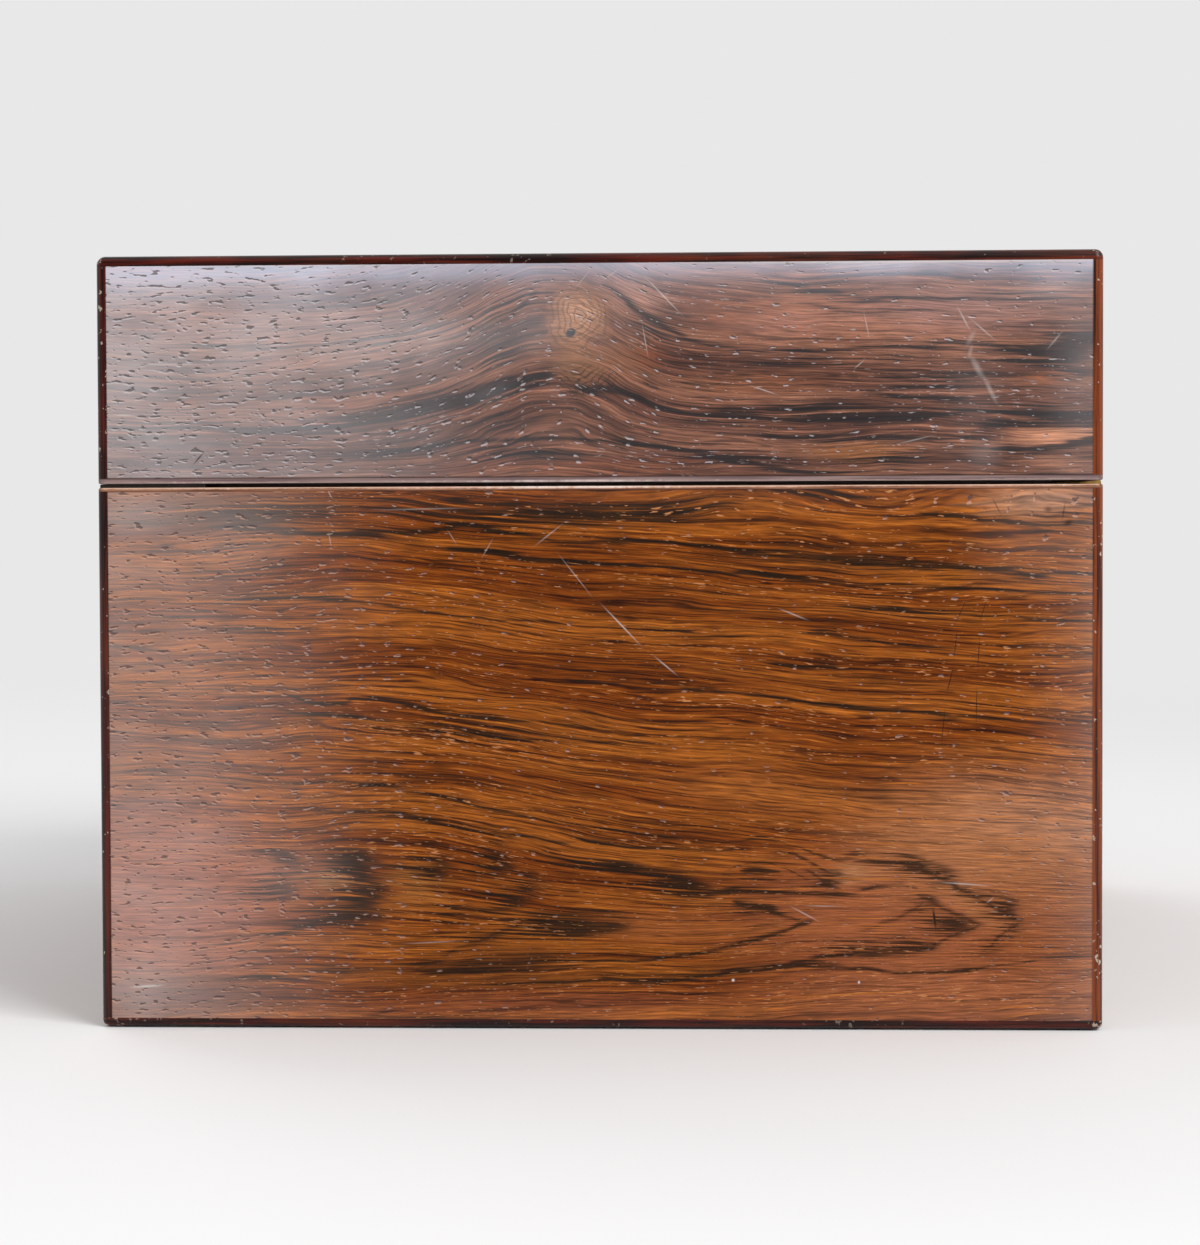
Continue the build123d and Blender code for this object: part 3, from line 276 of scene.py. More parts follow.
CASE_END = {
    "seed": 7.7,
    "span": END_SPAN, "height": END_RISE, "base": 0.0, "drift": FINE_DRIFT, "wild": 0.0,
    "flow": [(-115, 0), (-65, 0), (-45, -0.05), (-20, -0.26), (0, -0.44), (25, -0.6), (60, -0.8),
             (115, -1)],
    "rise": [(0, -5), (12, -5), (20, 0), (32, 12), (48, 17), (62, 15), (80, 12), (100, 11), (113, 9),
             (124, 3)],
    "wood": ("ac6220", "6e3104", "270b03", "1e140b"),
    "lines": 0.95,
    # The first colour on the next line is the painted highlight on the pores' rims
    "pore_highlights": "c8a08c", "bold": 1.2,
    "veins": [
        [(-90, 115.2, 0.6, 0), (-85, 114.9, 1.2, 0.7), (-77, 114.3, 1.6, 0.9), (-70, 113.6, 1.4, 0.9),
         (-60, 113.2, 1.2, 0.85), (-48, 113.3, 1, 0.8), (-38, 113.6, 0.9, 0.85), (-31, 115.5, 1.1, 0.9),
         (-24, 114.7, 1, 0.8), (-15, 112.8, 0.9, 0.6), (-5, 111.5, 1.1, 0.75), (8, 111.2, 1.1, 0.8),
         (22, 110.8, 1.1, 0.85), (34, 109.2, 1, 0.85), (46, 107.9, 1.1, 0.9), (60, 106.6, 0.9, 0.8),
         (74, 105.8, 1.2, 0.9), (88, 104.9, 1, 0.85), (100, 104.2, 0.8, 0.75), (115, 103.7, 0.9, 0.75)],
        [(-36, 110.6, 0.6, 0), (-28, 109.8, 0.9, 0.75), (-20, 108.3, 1.1, 0.85), (-9, 107.3, 1, 0.85),
         (2, 106.2, 0.9, 0.8), (12, 105.9, 0.8, 0.75), (25, 104.7, 1.1, 0.85), (38, 103.4, 1.1, 0.85),
         (50, 102.2, 0.9, 0.75), (65, 101.6, 0.8, 0.7), (80, 100.6, 0.8, 0.7), (95, 99.8, 0.6, 0.6),
         (115, 99.2, 0.6, 0.5)],
        [(-96, 96.6, 0.5, 0), (-84, 98, 0.7, 0.5), (-74, 98.7, 0.8, 0.65), (-62, 98.2, 0.9, 0.65),
         (-50, 97.1, 0.7, 0.5), (-38, 95.5, 0.7, 0.6), (-22, 94, 0.7, 0.6), (-5, 93, 0.7, 0.5),
         (12, 91.8, 0.7, 0.6), (30, 89.9, 0.6, 0.4), (44, 89, 0.5, 0)],
        [(-72, 78, 0.5, 0), (-67, 75.2, 0.9, 0.8), (-60, 74.6, 0.8, 0.75), (-54, 75.6, 0.8, 0.8),
         (-47, 75.1, 1, 0.85), (-38, 73.2, 1, 0.8), (-28, 71.3, 0.9, 0.7), (-15, 70.2, 0.7, 0.5),
         (0, 69.5, 0.6, 0.3), (10, 69, 0.5, 0)],
        [(-78, 73.5, 0.6, 0), (-68, 72.6, 1, 0.7), (-57, 71.5, 1.1, 0.75), (-46, 70, 1, 0.75),
         (-34, 68.2, 0.9, 0.7), (-20, 66.8, 0.9, 0.6), (-5, 66, 0.8, 0.5), (10, 65.3, 0.7, 0.4),
         (25, 65, 0.5, 0)],
        [(-12, 80.3, 0.5, 0), (0, 79.7, 0.7, 0.6), (12, 79.2, 0.8, 0.65), (24, 78.2, 0.9, 0.7),
         (36, 76.8, 0.6, 0.4), (46, 75.2, 0.8, 0.6), (58, 73.9, 0.9, 0.75), (72, 72.6, 0.8, 0.7),
         (84, 71.3, 0.7, 0.6), (98, 70.8, 0.5, 0.3), (110, 70, 0.4, 0)],
        [(50, 97, 0.5, 0), (60, 96, 0.8, 0.6), (72, 95.3, 0.9, 0.7), (84, 94.6, 0.8, 0.6),
         (100, 93.6, 0.7, 0.5), (115, 92.8, 0.6, 0.4)],
        [(44, 90.3, 0.6, 0), (52, 90.8, 1.2, 0.7), (58, 89.6, 1, 0.7), (66, 88.2, 0.7, 0.6),
         (80, 87.2, 0.6, 0.5), (95, 86.2, 0.5, 0.4), (115, 85, 0.5, 0.4)],
        [(38, 83.5, 0.5, 0), (45, 83.2, 1, 0.7), (55, 82.8, 0.9, 0.6), (64, 82.6, 0.6, 0)],
        [(70, 118, 0.5, 0), (78, 117, 0.8, 0.7), (88, 116, 0.9, 0.8), (98, 115.4, 0.9, 0.8),
         (115, 114.8, 0.8, 0.7)],
        [(-115, 116.3, 0.7, 0.5), (-100, 116, 0.7, 0.5), (-92, 115.6, 0.6, 0)],
        [(-115, 88.5, 0.9, 0.6), (-104, 87.2, 1, 0.7), (-96, 86.2, 0.8, 0.5), (-88, 85.6, 0.5, 0)],
        [(-115, 75.5, 0.8, 0.6), (-106, 74.3, 0.9, 0.6), (-98, 73.2, 0.6, 0)],
        [(-90, 57.6, 0.6, 0), (-80, 55.6, 0.9, 0.5), (-70, 56.2, 1, 0.6), (-62, 57.2, 1.1, 0.6),
         (-52, 56, 1, 0.6), (-42, 54.6, 0.9, 0.6), (-32, 52.4, 1, 0.65), (-22, 50, 1, 0.65),
         (-10, 47.6, 0.9, 0.6), (2, 45.8, 0.9, 0.6), (14, 44.2, 0.8, 0.5), (28, 42.8, 0.8, 0.5),
         (36, 43.8, 0.8, 0.6), (44, 42.4, 0.8, 0.7), (52, 39.6, 0.8, 0.6), (58, 38.6, 0.6, 0)],
        [(-75, 51, 0.6, 0), (-65, 50, 0.8, 0.5), (-50, 49.6, 0.9, 0.55), (-38, 47.5, 0.9, 0.55),
         (-28, 45.5, 0.9, 0.6), (-15, 43.7, 0.9, 0.5), (-2, 42.5, 0.8, 0.5), (15, 41.2, 0.7, 0.5),
         (27, 41, 0.6, 0.5), (36, 41.6, 0.6, 0.5), (44, 40.2, 0.7, 0.6), (50, 37.5, 0.8, 0.6),
         (54, 35.5, 0.6, 0)],
        [(-115, 13.2, 1.2, 0.25), (-100, 11.9, 1.1, 0.25), (-88, 11.4, 1.1, 0.28), (-75, 12.6, 1.1, 0.28),
         (-62, 13.1, 1.1, 0.28), (-52, 12.6, 1, 0.28), (-44, 12.8, 1, 0.28), (-38, 15.4, 1.6, 0.45),
         (-31, 19, 1.6, 0.45), (-25, 21.3, 1.9, 0.5), (-18, 24, 2.5, 0.56), (-10, 26, 2.5, 0.5),
         (0, 26.5, 1.8, 0.4), (8, 25, 1.3, 0.34), (14, 24, 0.8, 0)],
        [(-95, 19.6, 0.5, 0), (-86, 19.8, 0.9, 0.5), (-77, 21, 1.1, 0.55), (-69, 23, 1.2, 0.6),
         (-60, 25.6, 1.2, 0.55), (-52, 27, 1, 0.3), (-48, 27.5, 0.6, 0)],
        [(-30, 9.8, 0.5, 0), (-20, 10.5, 0.8, 0.5), (-5, 11.3, 0.9, 0.7), (10, 11.4, 1, 0.8),
         (22, 12.2, 1, 0.8), (35, 13.8, 1, 0.8), (46, 14.9, 0.9, 0.75), (58, 14.4, 0.8, 0.7),
         (70, 13.2, 0.8, 0.7), (82, 13.8, 0.8, 0.65), (92, 15.2, 0.7, 0.55), (103, 16.6, 0.6, 0.5),
         (115, 17.2, 0.5, 0.4)],
        [(-18, 12.6, 0.5, 0), (-5, 14.4, 0.8, 0.6), (10, 15.9, 0.8, 0.65), (22, 17.6, 0.8, 0.6),
         (32, 19.6, 1, 0.7), (40, 21.8, 1.1, 0.8), (46, 24.2, 1.1, 0.8), (49, 25.3, 0.8, 0.4),
         (52, 26, 0.6, 0)],
        [(36, 14.2, 0.5, 0), (44, 15.6, 0.8, 0.46), (52, 17, 1.2, 0.68), (60, 17.9, 1.4, 0.76),
         (68, 18, 1.5, 0.76), (75, 19.2, 1.4, 0.68), (79, 21, 1, 0.53), (83, 22.5, 1.2, 0.68),
         (87, 24.3, 0.8, 0.38), (89, 24.8, 0.5, 0)],
        [(68, 38.6, 0.8, 0), (71, 37.8, 2, 0.68), (75, 36.5, 2.2, 0.68), (79, 34, 1.8, 0.65),
         (83, 31.6, 1.4, 0.61), (88, 29.4, 1.3, 0.61), (92, 27.2, 1.8, 0.68), (95, 25.3, 1.6, 0.61),
         (97, 24.5, 0.8, 0)],
        [(86, 17.2, 0.6, 0), (88.5, 18.8, 1.2, 0.53), (91, 21, 1.5, 0.57), (94, 23.4, 1.6, 0.61),
         (96, 24.6, 1, 0)],
        [(72, 30.5, 0.8, 0), (75, 29.6, 1.4, 0.61), (79, 27.6, 1.4, 0.61), (83, 25.9, 1.2, 0.61),
         (87, 24.3, 0.9, 0.46), (89, 24, 0.5, 0)],
        [(58, 22.5, 0.5, 0), (64, 24.4, 0.9, 0.46), (69, 26.2, 1.1, 0.53), (73, 28.5, 1.2, 0.53),
         (75, 30, 0.8, 0)],
        [(50, 20.6, 0.5, 0), (60, 20.3, 0.8, 0.38), (70, 20.8, 0.9, 0.46), (78, 20.4, 0.8, 0.3),
         (82, 20.5, 0.5, 0)],
        [(56, 38.2, 0.6, 0), (60, 38.9, 0.9, 0.46), (66, 38.7, 1, 0.53), (70, 38.2, 1, 0.46),
         (72, 37.6, 0.6, 0)],
        [(48, 31.2, 0.6, 0), (53, 31, 0.9, 0.53), (59, 31.8, 0.9, 0.46), (64, 33.2, 0.9, 0.53),
         (69, 33.5, 0.9, 0.53), (72, 32.3, 0.9, 0.46), (75, 30.6, 0.7, 0)],
        [(46, 37.2, 0.5, 0), (49, 35.8, 1.1, 0.53), (52, 33.6, 1.6, 0.61), (54, 31.8, 1.6, 0.53),
         (56, 30.8, 0.8, 0)],
        [(16, 31.8, 1.2, 0), (22, 31.6, 1.4, 0.9), (30, 31.9, 1.1, 0.85), (38, 31.4, 1, 0.8),
         (46, 30.9, 0.8, 0.6), (54, 30.4, 0.7, 0.5), (62, 30.5, 0.5, 0)],
        [(30, 29.5, 0.8, 0), (33, 28.6, 1.4, 0.9), (38, 27.6, 1.6, 0.9), (42, 26.2, 1.2, 0.7),
         (46, 25.2, 0.9, 0.5), (48, 25, 0.5, 0)],
        [(31.5, 36.2, 0.3, 0), (34, 36.3, 0.9, 0.9), (37, 36.4, 1, 0.95), (40, 36.2, 0.7, 0.8),
         (42, 36, 0.3, 0)],
        [(28, 35.9, 0.4, 0), (33, 37.9, 0.4, 0.5), (37, 38.3, 0.4, 0.5), (41, 37.4, 0.4, 0.5),
         (45, 35.6, 0.4, 0.5), (49, 34.2, 0.4, 0)],
        [(28, 35.6, 0.4, 0), (33, 34.5, 0.4, 0.5), (38, 34.3, 0.4, 0.5), (42, 34.9, 0.4, 0)],
    ],
    "patches": [
        (-57, 38, 10, 7, 0, 0.86), (-54, 31, 8, 11, 5, 0.84), (-58, 26, 18, 5, 0, 0.74),
        (-72, 39, 5, 9, 40, 0.75), (-73, 31, 8, 6, 0, 0.6), (-37, 37, 7, 9, 10, 0.6),
        (-24, 38, 7, 6, -20, 0.8), (-22.5, 43, 3, 3.4, 0, 0.7), (-16, 33.5, 4.4, 7, 0, 0.8),
        (-21, 29.5, 9, 3.6, 10, 0.75), (-32, 27, 4, 7, 0, 0.65), (-9, 24.6, 21, 6, 0, 0.86),
        (1, 25, 13, 3, 0, 0.78), (-27, 21, 6, 1.6, 12, 0.6), (-39, 15.4, 8, 2.2, 6, 0.66),
        (-60, 13, 20, 1.8, 0, 0.5), (-17, 16, 10, 1.8, 0, 0.55), (17, 34.8, 14, 4.8, -8, 0.9),
        (4, 38.6, 14, 3.2, -8, 0.82), (34, 28.5, 7, 2.6, -35, 0.7), (38, 24, 7, 1.8, 20, 0.56),
        (72, 37.6, 5.6, 4.8, -25, 0.81), (78, 34.6, 6.2, 5.1, -45, 0.77), (85, 30, 7.5, 2.7, -30, 0.66),
        (92, 27.5, 5.5, 5.1, -35, 0.77), (94, 23.6, 3.5, 6.3, 20, 0.66), (90, 19.6, 6.2, 3.3, 30, 0.55),
        (80, 24, 9.4, 3.9, 0, 0.81), (75, 28, 3.8, 6.6, -20, 0.62), (72, 19.6, 11.2, 3, 0, 0.66),
        (60, 17.6, 16.2, 2.4, 0, 0.7), (53, 34, 4.2, 6.9, -40, 0.73), (58, 39.6, 10, 2.1, 10, 0.55),
        (-5, 118.5, 70, 6, -1, 0.7), (48, 108, 66, 5, -4, 0.52), (20, 121, 90, 2.4, 0, 0.42),
        (-72, 118, 34, 6, 0, 0.62), (-20, 15, 32, 6, 4, 0.54), (20, 14, 34, 3.4, 4, 0.5),
        (-26, 69, 50, 5, -4, 0.44),
    ],
    "tints": [
        (12, 25, 24, 6, 0, "9a5628", 0.8), (-26, 13, 36, 9, 3, "5c3013", 0.7),
        (70, 26, 60, 26, 0, "965636", 0.9), (57, 35.5, 8, 4, 0, "b07c54", 0.6),
        (98, 119, 20, 6, 0, "b07a58", 0.9), (-62, 33.5, 7, 4, 0, "a07850", 0.5),
        (88, 44, 45, 24, 0, "a86e48", 0.8), (40, 54, 40, 9, -8, "a5602a", 0.5),
        (-42, 33, 9, 8, 0, "94602f", 0.6), (-46, 96, 26, 4, -6, "9a5216", 0.5),
        (84, 8, 66, 13, 0, "985a3a", 0.8), (-14, 5, 66, 6, 2, "8a4c32", 0.4),
        (-100, 30, 42, 34, 0, "985a46", 0.95), (85, 27, 12, 2.2, -32, "a0683f", 0.6),
        (-98, 118, 36, 8, 0, "3e2b25", 0.65), (-98, 6, 32, 9, 0, "5a382c", 0.7),
    ],
    "knot": None,
    # Bloom of worn polish mixed with a painted sheen of reflected light, strongest towards the left and
    # right edges
    "bloom_and_sheen_along": [(-115, 0.5), (-100, 0.46), (-88, 0.36), (-76, 0.23), (-62, 0.11), (-50, 0.03), (-36, 0),
                   (-20, 0), (90, 0), (104, 0.08), (115, 0.3)],
    "bloom_and_sheen_up": [(0, 0.06), (6, 0.02), (14, 0), (112, 0), (124, 0.04)],
    "bloom_and_sheen": ("a09694", "9298a4"),
    "clouds": [
        (-106, 118, 12, 8, 0, 0.26), (-108, 10, 14, 14, 0, 0.22), (98, 110, 20, 16, 0, 0.12),
        (104, 121, 16, 5, 0, 0.12), (100, 50, 30, 14, 0, 0.1), (-70, 38, 16, 12, 0, 0.1),
        (-80, 112, 20, 9, 0, 0.14),
    ],
    "pores": (0.8, "4c4044", [(-115, 0.9), (-75, 0.85), (-45, 0.6), (20, 0.28), (60, 0.34), (115, 0.7)]),
    "flecks": (0.48, "d8925e", [(-115, 0.3), (-70, 0.6), (-40, 1), (115, 1)]),
    "scratches_and_highlights": [
        (5.5, 92.4, 8.4, 0.3, -46.5, 0.55), (15.5, 83.2, 4.6, 0.28, -40, 0.5),
        (-5, 103.8, 8, 0.22, -52, 0.35), (44.5, 94.8, 4.8, 0.3, -22, 0.4), (-38, 19.9, 9, 0.25, 3, 0.3),
        (-104, 9.6, 5.4, 0.5, 4, 0.8), (83, 33.5, 8, 0.3, -4, 0.5), (47, 26.6, 5, 0.28, -28, 0.4),
        (51, 28.4, 6, 0.22, -1, 0.35), (-11, 113, 5.5, 0.25, 38, 0.35), (-33, 112.5, 2.6, 0.22, -58, 0.3),
        (-25, 110, 3.6, 0.2, 60, 0.3), (-61, 112, 2.2, 0.22, -80, 0.4), (-61, 122.5, 1.8, 0.25, -60, 0.4),
        (30.7, 11.4, 0.5, 0.5, 0, 1.4), (59.3, 11, 0.4, 0.5, 0, 1.2), (-40, 119, 14, 0.3, 1, 0.25),
        (89, 29.8, 1.4, 0.25, 40, 0.4),
    ],
    "dents": [
        (82.4, 95.4, 4.6, 0.2, 66, 0.8), (81.2, 88, 4.4, 0.2, 84, 0.9), (79.9, 79.6, 4.6, 0.22, 76, 1.0),
        (78.4, 69.5, 5.8, 0.22, 84, 0.9), (87.4, 95.5, 4, 0.2, 72, 0.8), (86.4, 86, 6, 0.2, 87, 0.9),
        (85.9, 74, 6, 0.2, 89, 0.9), (76.4, 25.6, 3.4, 0.45, 97, 1.3), (102, 10.4, 4, 0.3, 24, 0.4),
        (90.5, 119, 3.2, 0.25, -62, 0.6), (105.5, 118, 3, 0.3, 80, 0.6), (102, 118.4, 1.4, 0.9, 0, 0.6),
        (106.5, 115.4, 1.6, 1, 20, 0.7), (86, 121.5, 4, 0.25, -8, 0.5), (112.4, 60, 0.7, 900, 0, 1.0),
        (-112.4, 60, 0.6, 900, 0, 0.7), (0, 123.3, 900, 0.4, 0, 0.8),
    ],
}


def panel_plane(tree, across, up, figure):
    """Object coordinates laid flat on a panel in millimetres: along, height, and both as one vector.
    share and level are the same places as shares of the figure's span and height."""
    place = add(tree, "TexCoord")
    axes = add(tree, "SeparateXYZ", place.outputs["Object"])
    along = add(tree, "Math", axes.outputs[across], PER_MM, operation="MULTIPLY")
    height = add(tree, "Math", axes.outputs[up], PER_MM, figure["base"], operation="MULTIPLY_ADD")
    flat = add(tree, "CombineXYZ", along, height)
    share = add(tree, "MapRange", along, -figure["span"] / 2, figure["span"] / 2, **OPEN)
    level = add(tree, "MapRange", height, 0.0, figure["height"], **OPEN)
    return SimpleNamespace(tree=tree, figure=figure, seed=figure["seed"], along=along, height=height,
                           place=flat, share=share, level=level)


def curve_along(figure, points, factor=1.0, lift=0.0):
    """Curve points from (millimetres from the panel's middle, value)."""
    return [[(x / figure["span"] + 0.5, value * factor + lift) for x, value in points]]


def curve_up(figure, points, factor=1.0, lift=0.0):
    """Curve points from (millimetres from the panel's foot, value)."""
    return [[(z / figure["height"], value * factor + lift) for z, value in points]]


def stretched_noise(tree, place, long, short, seed, detail=3.0, roughness=0.55):
    """Noise drawn out along the grain, with features about long by short millimetres."""
    scaled = add(tree, "VectorMath", place, (1 / long, 1 / short, 0), operation="MULTIPLY")
    moved = add(tree, "VectorMath", scaled, (seed * 7.31, seed * 3.17, 0), operation="ADD")
    return add(tree, "TexNoise", Vector=moved, Scale=1.0, Detail=detail, Roughness=roughness,
               noise_dimensions="2D")


def wander(tree, place, height, sizes, seed):
    """The height on the panel with the small wanderings of the grain added: sizes are (long, short,
    reach)."""
    for number, (long, short, reach) in enumerate(sizes):
        drift = stretched_noise(tree, place, long, short, seed + number, detail=1.0)
        shift = add(tree, "MapRange", drift, 0.2, 0.8, -reach, reach, **OPEN)
        height = add(tree, "Math", height, shift, operation="ADD")
    return height


def vein(panel, share_code, height, field, points):
    """Adds one dark vein to the field. One curve node holds its course, its half width and its depth."""
    tree, figure = panel.tree, panel.figure
    rise, bold = figure["height"], figure["bold"]
    places = [(x / figure["span"] + 0.5, z / rise, wide / rise * bold, depth)
              for x, z, wide, depth in points]
    curves = [[(place[0], place[channel]) for place in places] for channel in (1, 2, 3)]
    course = add(tree, "RGBCurve", Color=share_code, curves=curves)
    parts = add(tree, "SeparateColor", course)
    above = add(tree, "Math", height, parts.outputs[0], operation="SUBTRACT")
    off = add(tree, "Math", above, operation="ABSOLUTE")
    near = add(tree, "MapRange", off, parts.outputs[1], 0.0, 0.0, parts.outputs[2], **OPEN)
    return add(tree, "Math", field, near, operation="MAXIMUM")


def growth_lines(tree, grain, sway, pitch, swing, edge):
    """Lines about a pitch apart in millimetres across the grain, crowded and spread by the sway. edge is
    how high on the wave a line starts, so a higher one gives thinner lines."""
    turns = add(tree, "Math", grain, 2 * pi / pitch, operation="MULTIPLY")
    turns = add(tree, "Math", sway, 2 * pi * swing, turns, operation="MULTIPLY_ADD")
    wave = add(tree, "Math", turns, operation="SINE")
    return add(tree, "MapRange", wave, edge, 1.0, **SOFT)


def oval_distance(tree, place, x, z, half_x, half_z, turn):
    """The distance from an oval's centre as a share of its half widths, 1 on its edge."""
    level = add(tree, "VectorRotate", Vector=place, Center=(x, z, 0), Angle=radians(-turn),
                rotation_type="Z_AXIS")
    scaled = add(tree, "VectorMath", level, (1 / half_x, 1 / half_z, 0), operation="MULTIPLY")
    return add(tree, "VectorMath", scaled, (x / half_x, z / half_z, 0), operation="DISTANCE")


def oval(tree, place, *shape, depth=1.0, soft=1.0):
    """depth in the middle of an oval on the panel, falling to 0 at its edge over the share that is soft.
    The shape is the centre's two places, the two half widths and the turn in degrees."""
    far = oval_distance(tree, place, *shape)
    inside = add(tree, "MapRange", far, 1.0, 1.0 - soft, 0.0, 1.0, **SOFT)
    return add(tree, "Math", inside, depth, operation="MULTIPLY")


def dashes(tree, place, long, short, seed, shares, soft):
    """Short dashes that lie along the grain, as open pores do. shares gives how many there are along the
    panel."""
    cloud = stretched_noise(tree, place, long, short, seed, detail=2.0, roughness=0.5)
    edge = add(tree, "MapRange", shares, 0.0, 1.0, 0.8, 0.58, **OPEN)
    over = add(tree, "Math", cloud, edge, operation="SUBTRACT")
    return add(tree, "MapRange", over, 0.0, soft, **SOFT)


def tint(tree, mask, under, over):
    """Lays one colour over another where the mask is 1."""
    return add(tree, "Mix", sockets={FACTOR: mask, UNDER: under, OVER: over}, data_type="RGBA")


def rosewood(name, across, up, figure, finish):
    """Saw-cut rosewood veneer under worn shellac polish: wavy dark lines and veins in amber-brown wood,
    open pores with a painted highlight on their rims, and a milky bloom where the polish has gone, mixed
    with a painted sheen of reflected light, which lifts the dark wood to a greyish mauve."""
    material, tree, shader = new_material(name, IOR=1.5, Coat_Weight=finish.polish, Coat_Roughness=0.16,
                                          Specular_IOR_Level=0.08)
    panel = panel_plane(tree, across, up, figure)
    run_grain(panel)
    wood = striped_wood(panel)
    wood = veined_wood(panel, wood)
    if figure["knot"]:
        wood = knot_eye(panel, wood)

    # Fibres lighten and darken the wood a little everywhere
    light = add(tree, "MapRange", panel.fibre, 0.25, 0.75, 0.55, 1.45, **OPEN)
    grey = add(tree, "CombineColor", light, light, light)
    wood = add(tree, "Mix", sockets={FACTOR: 1.0, UNDER: wood, OVER: grey}, data_type="RGBA",
               blend_type="MULTIPLY")
    # Bloom of worn polish and a painted sheen of reflected light, laid over the wood
    wood = sheened_and_bloomed_wood(panel, wood)
    wood, hollows = marked_wood(panel, wood)
    rough = add(tree, "MapRange", panel.mottle, 0.3, 0.7, finish.roughness - 0.06, finish.roughness + 0.08,
                **OPEN)
    sunk = add(tree, "Math", hollows, -1.0, operation="MULTIPLY")
    relief = add(tree, "Math", panel.fibre, 0.25, sunk, operation="MULTIPLY_ADD")
    surface(tree, shader, wood, rough, relief, 0.6, 0.12)
    return material


def run_grain(panel):
    """The course of the grain: height above the lines' own level, with long and short wanderings."""
    tree, figure = panel.tree, panel.figure
    bend = add(tree, "FloatCurve", Value=panel.share, curves=curve_along(figure, figure["flow"], 0.5, 0.5))
    reach = add(tree, "FloatCurve", Value=panel.level, curves=curve_up(figure, figure["rise"], 0.02, 0.5))
    bend_signed = add(tree, "MapRange", bend, 0.0, 1.0, -1.0, 1.0, **OPEN)
    reach_mm = add(tree, "MapRange", reach, 0.0, 1.0, -25.0, 25.0, **OPEN)
    lift = add(tree, "Math", bend_signed, reach_mm, operation="MULTIPLY")
    panel.drifted = wander(tree, panel.place, panel.height, figure["drift"], panel.seed)
    panel.grain = add(tree, "Math", panel.drifted, lift, operation="SUBTRACT")
    panel.grain_place = add(tree, "CombineXYZ", panel.along, panel.grain)


def striped_wood(panel):
    """Bands of lighter and darker wood, growth lines side by side, finer threads, and broad tints that
    calm the lines under them."""
    tree, figure, seed = panel.tree, panel.figure, panel.seed
    light, middle, dark = (linear(code) for code in figure["wood"][:3])
    bands = stretched_noise(tree, panel.grain_place, 110, 6, seed + 11, detail=3.0)
    fine = stretched_noise(tree, panel.grain_place, 48, 0.75, seed + 13, detail=4.0, roughness=0.7)
    sway = stretched_noise(tree, panel.grain_place, 90, 5, seed + 15, detail=2.0)
    panel.fibre = stretched_noise(tree, panel.grain_place, 7, 0.32, seed + 17, detail=2.0)
    panel.fine, panel.sway = fine, sway
    body = add(tree, "MapRange", bands, 0.36, 0.62, 0.42, 0.92, **SOFT)
    wood = tint(tree, body, light, middle)
    growth = growth_lines(tree, panel.grain, sway, 1.8, 5.0, 0.66)
    threads = growth_lines(tree, panel.grain, sway, 0.85, 9.0, 0.2)
    strength = add(tree, "MapRange", bands, 0.3, 0.7, 0.55, 0.95, **OPEN)
    broken = add(tree, "MapRange", fine, 0.36, 0.56, 0.15, 1.0, **SOFT)
    lines = add(tree, "Math", growth, broken, operation="MULTIPLY")
    lines = add(tree, "Math", lines, strength, operation="MULTIPLY")
    streaks = add(tree, "MapRange", fine, 0.5, 0.68, 0.0, 0.8, **SOFT)
    lines = add(tree, "Math", lines, streaks, operation="MAXIMUM")
    lines = add(tree, "Math", lines, figure["lines"], operation="MULTIPLY")
    loose = add(tree, "MapRange", fine, 0.36, 0.64, 0.0, figure["lines"] * 0.75, **SOFT)
    threads = add(tree, "Math", threads, loose, operation="MULTIPLY")
    pale = add(tree, "MapRange", fine, 0.42, 0.28, 0.0, 0.9, **SOFT)
    jagged = add(tree, "MapRange", fine, 0.25, 0.75, -8.0, 8.0, **OPEN)
    jagged = add(tree, "Math", panel.along, jagged, operation="ADD")
    panel.ragged_place = add(tree, "CombineXYZ", jagged, panel.drifted)
    for *shape, code, depth in figure["tints"]:
        spot = oval(tree, panel.ragged_place, *shape, depth=depth, soft=0.8)
        wood = tint(tree, spot, wood, linear(code))
        calmed = add(tree, "MapRange", spot, 0.0, 1.0, 1.0, 0.35, **OPEN)
        lines = add(tree, "Math", lines, calmed, operation="MULTIPLY")
        threads = add(tree, "Math", threads, calmed, operation="MULTIPLY")
    wood = tint(tree, pale, wood, light)
    wood = tint(tree, threads, wood, dark)
    return tint(tree, lines, wood, dark)


def veined_wood(panel, wood):
    """Dark veins and patches, their edges drawn out into the grain."""
    tree, figure, seed = panel.tree, panel.figure, panel.seed
    field = 0.0
    if figure["wild"]:
        field = wild_veins(tree, panel.grain_place, seed, figure["wild"])
    wandered = wander(tree, panel.place, panel.height, ((22, 7, 0.5), (6, 2.2, 0.25)), seed + 5)
    height = add(tree, "Math", wandered, 1 / figure["height"], operation="MULTIPLY")
    share_code = add(tree, "CombineColor", panel.share, panel.share, panel.share)
    for points in figure["veins"]:
        field = vein(panel, share_code, height, field, points)
    for *shape, depth in figure["patches"]:
        spot = oval(tree, panel.ragged_place, *shape, depth=depth)
        field = add(tree, "Math", field, spot, operation="MAXIMUM")
    feather = add(tree, "MapRange", panel.fine, 0.25, 0.75, -0.45, 0.45, **OPEN)
    fringe = add(tree, "MapRange", panel.fibre, 0.25, 0.75, -0.16, 0.16, **OPEN)
    ragged = add(tree, "Math", field, feather, operation="ADD")
    ragged = add(tree, "Math", ragged, fringe, operation="ADD")
    veined = add(tree, "MapRange", ragged, 0.16, 0.66, 0.0, 0.9, **SOFT)
    return tint(tree, veined, wood, linear(figure["wood"][3]))


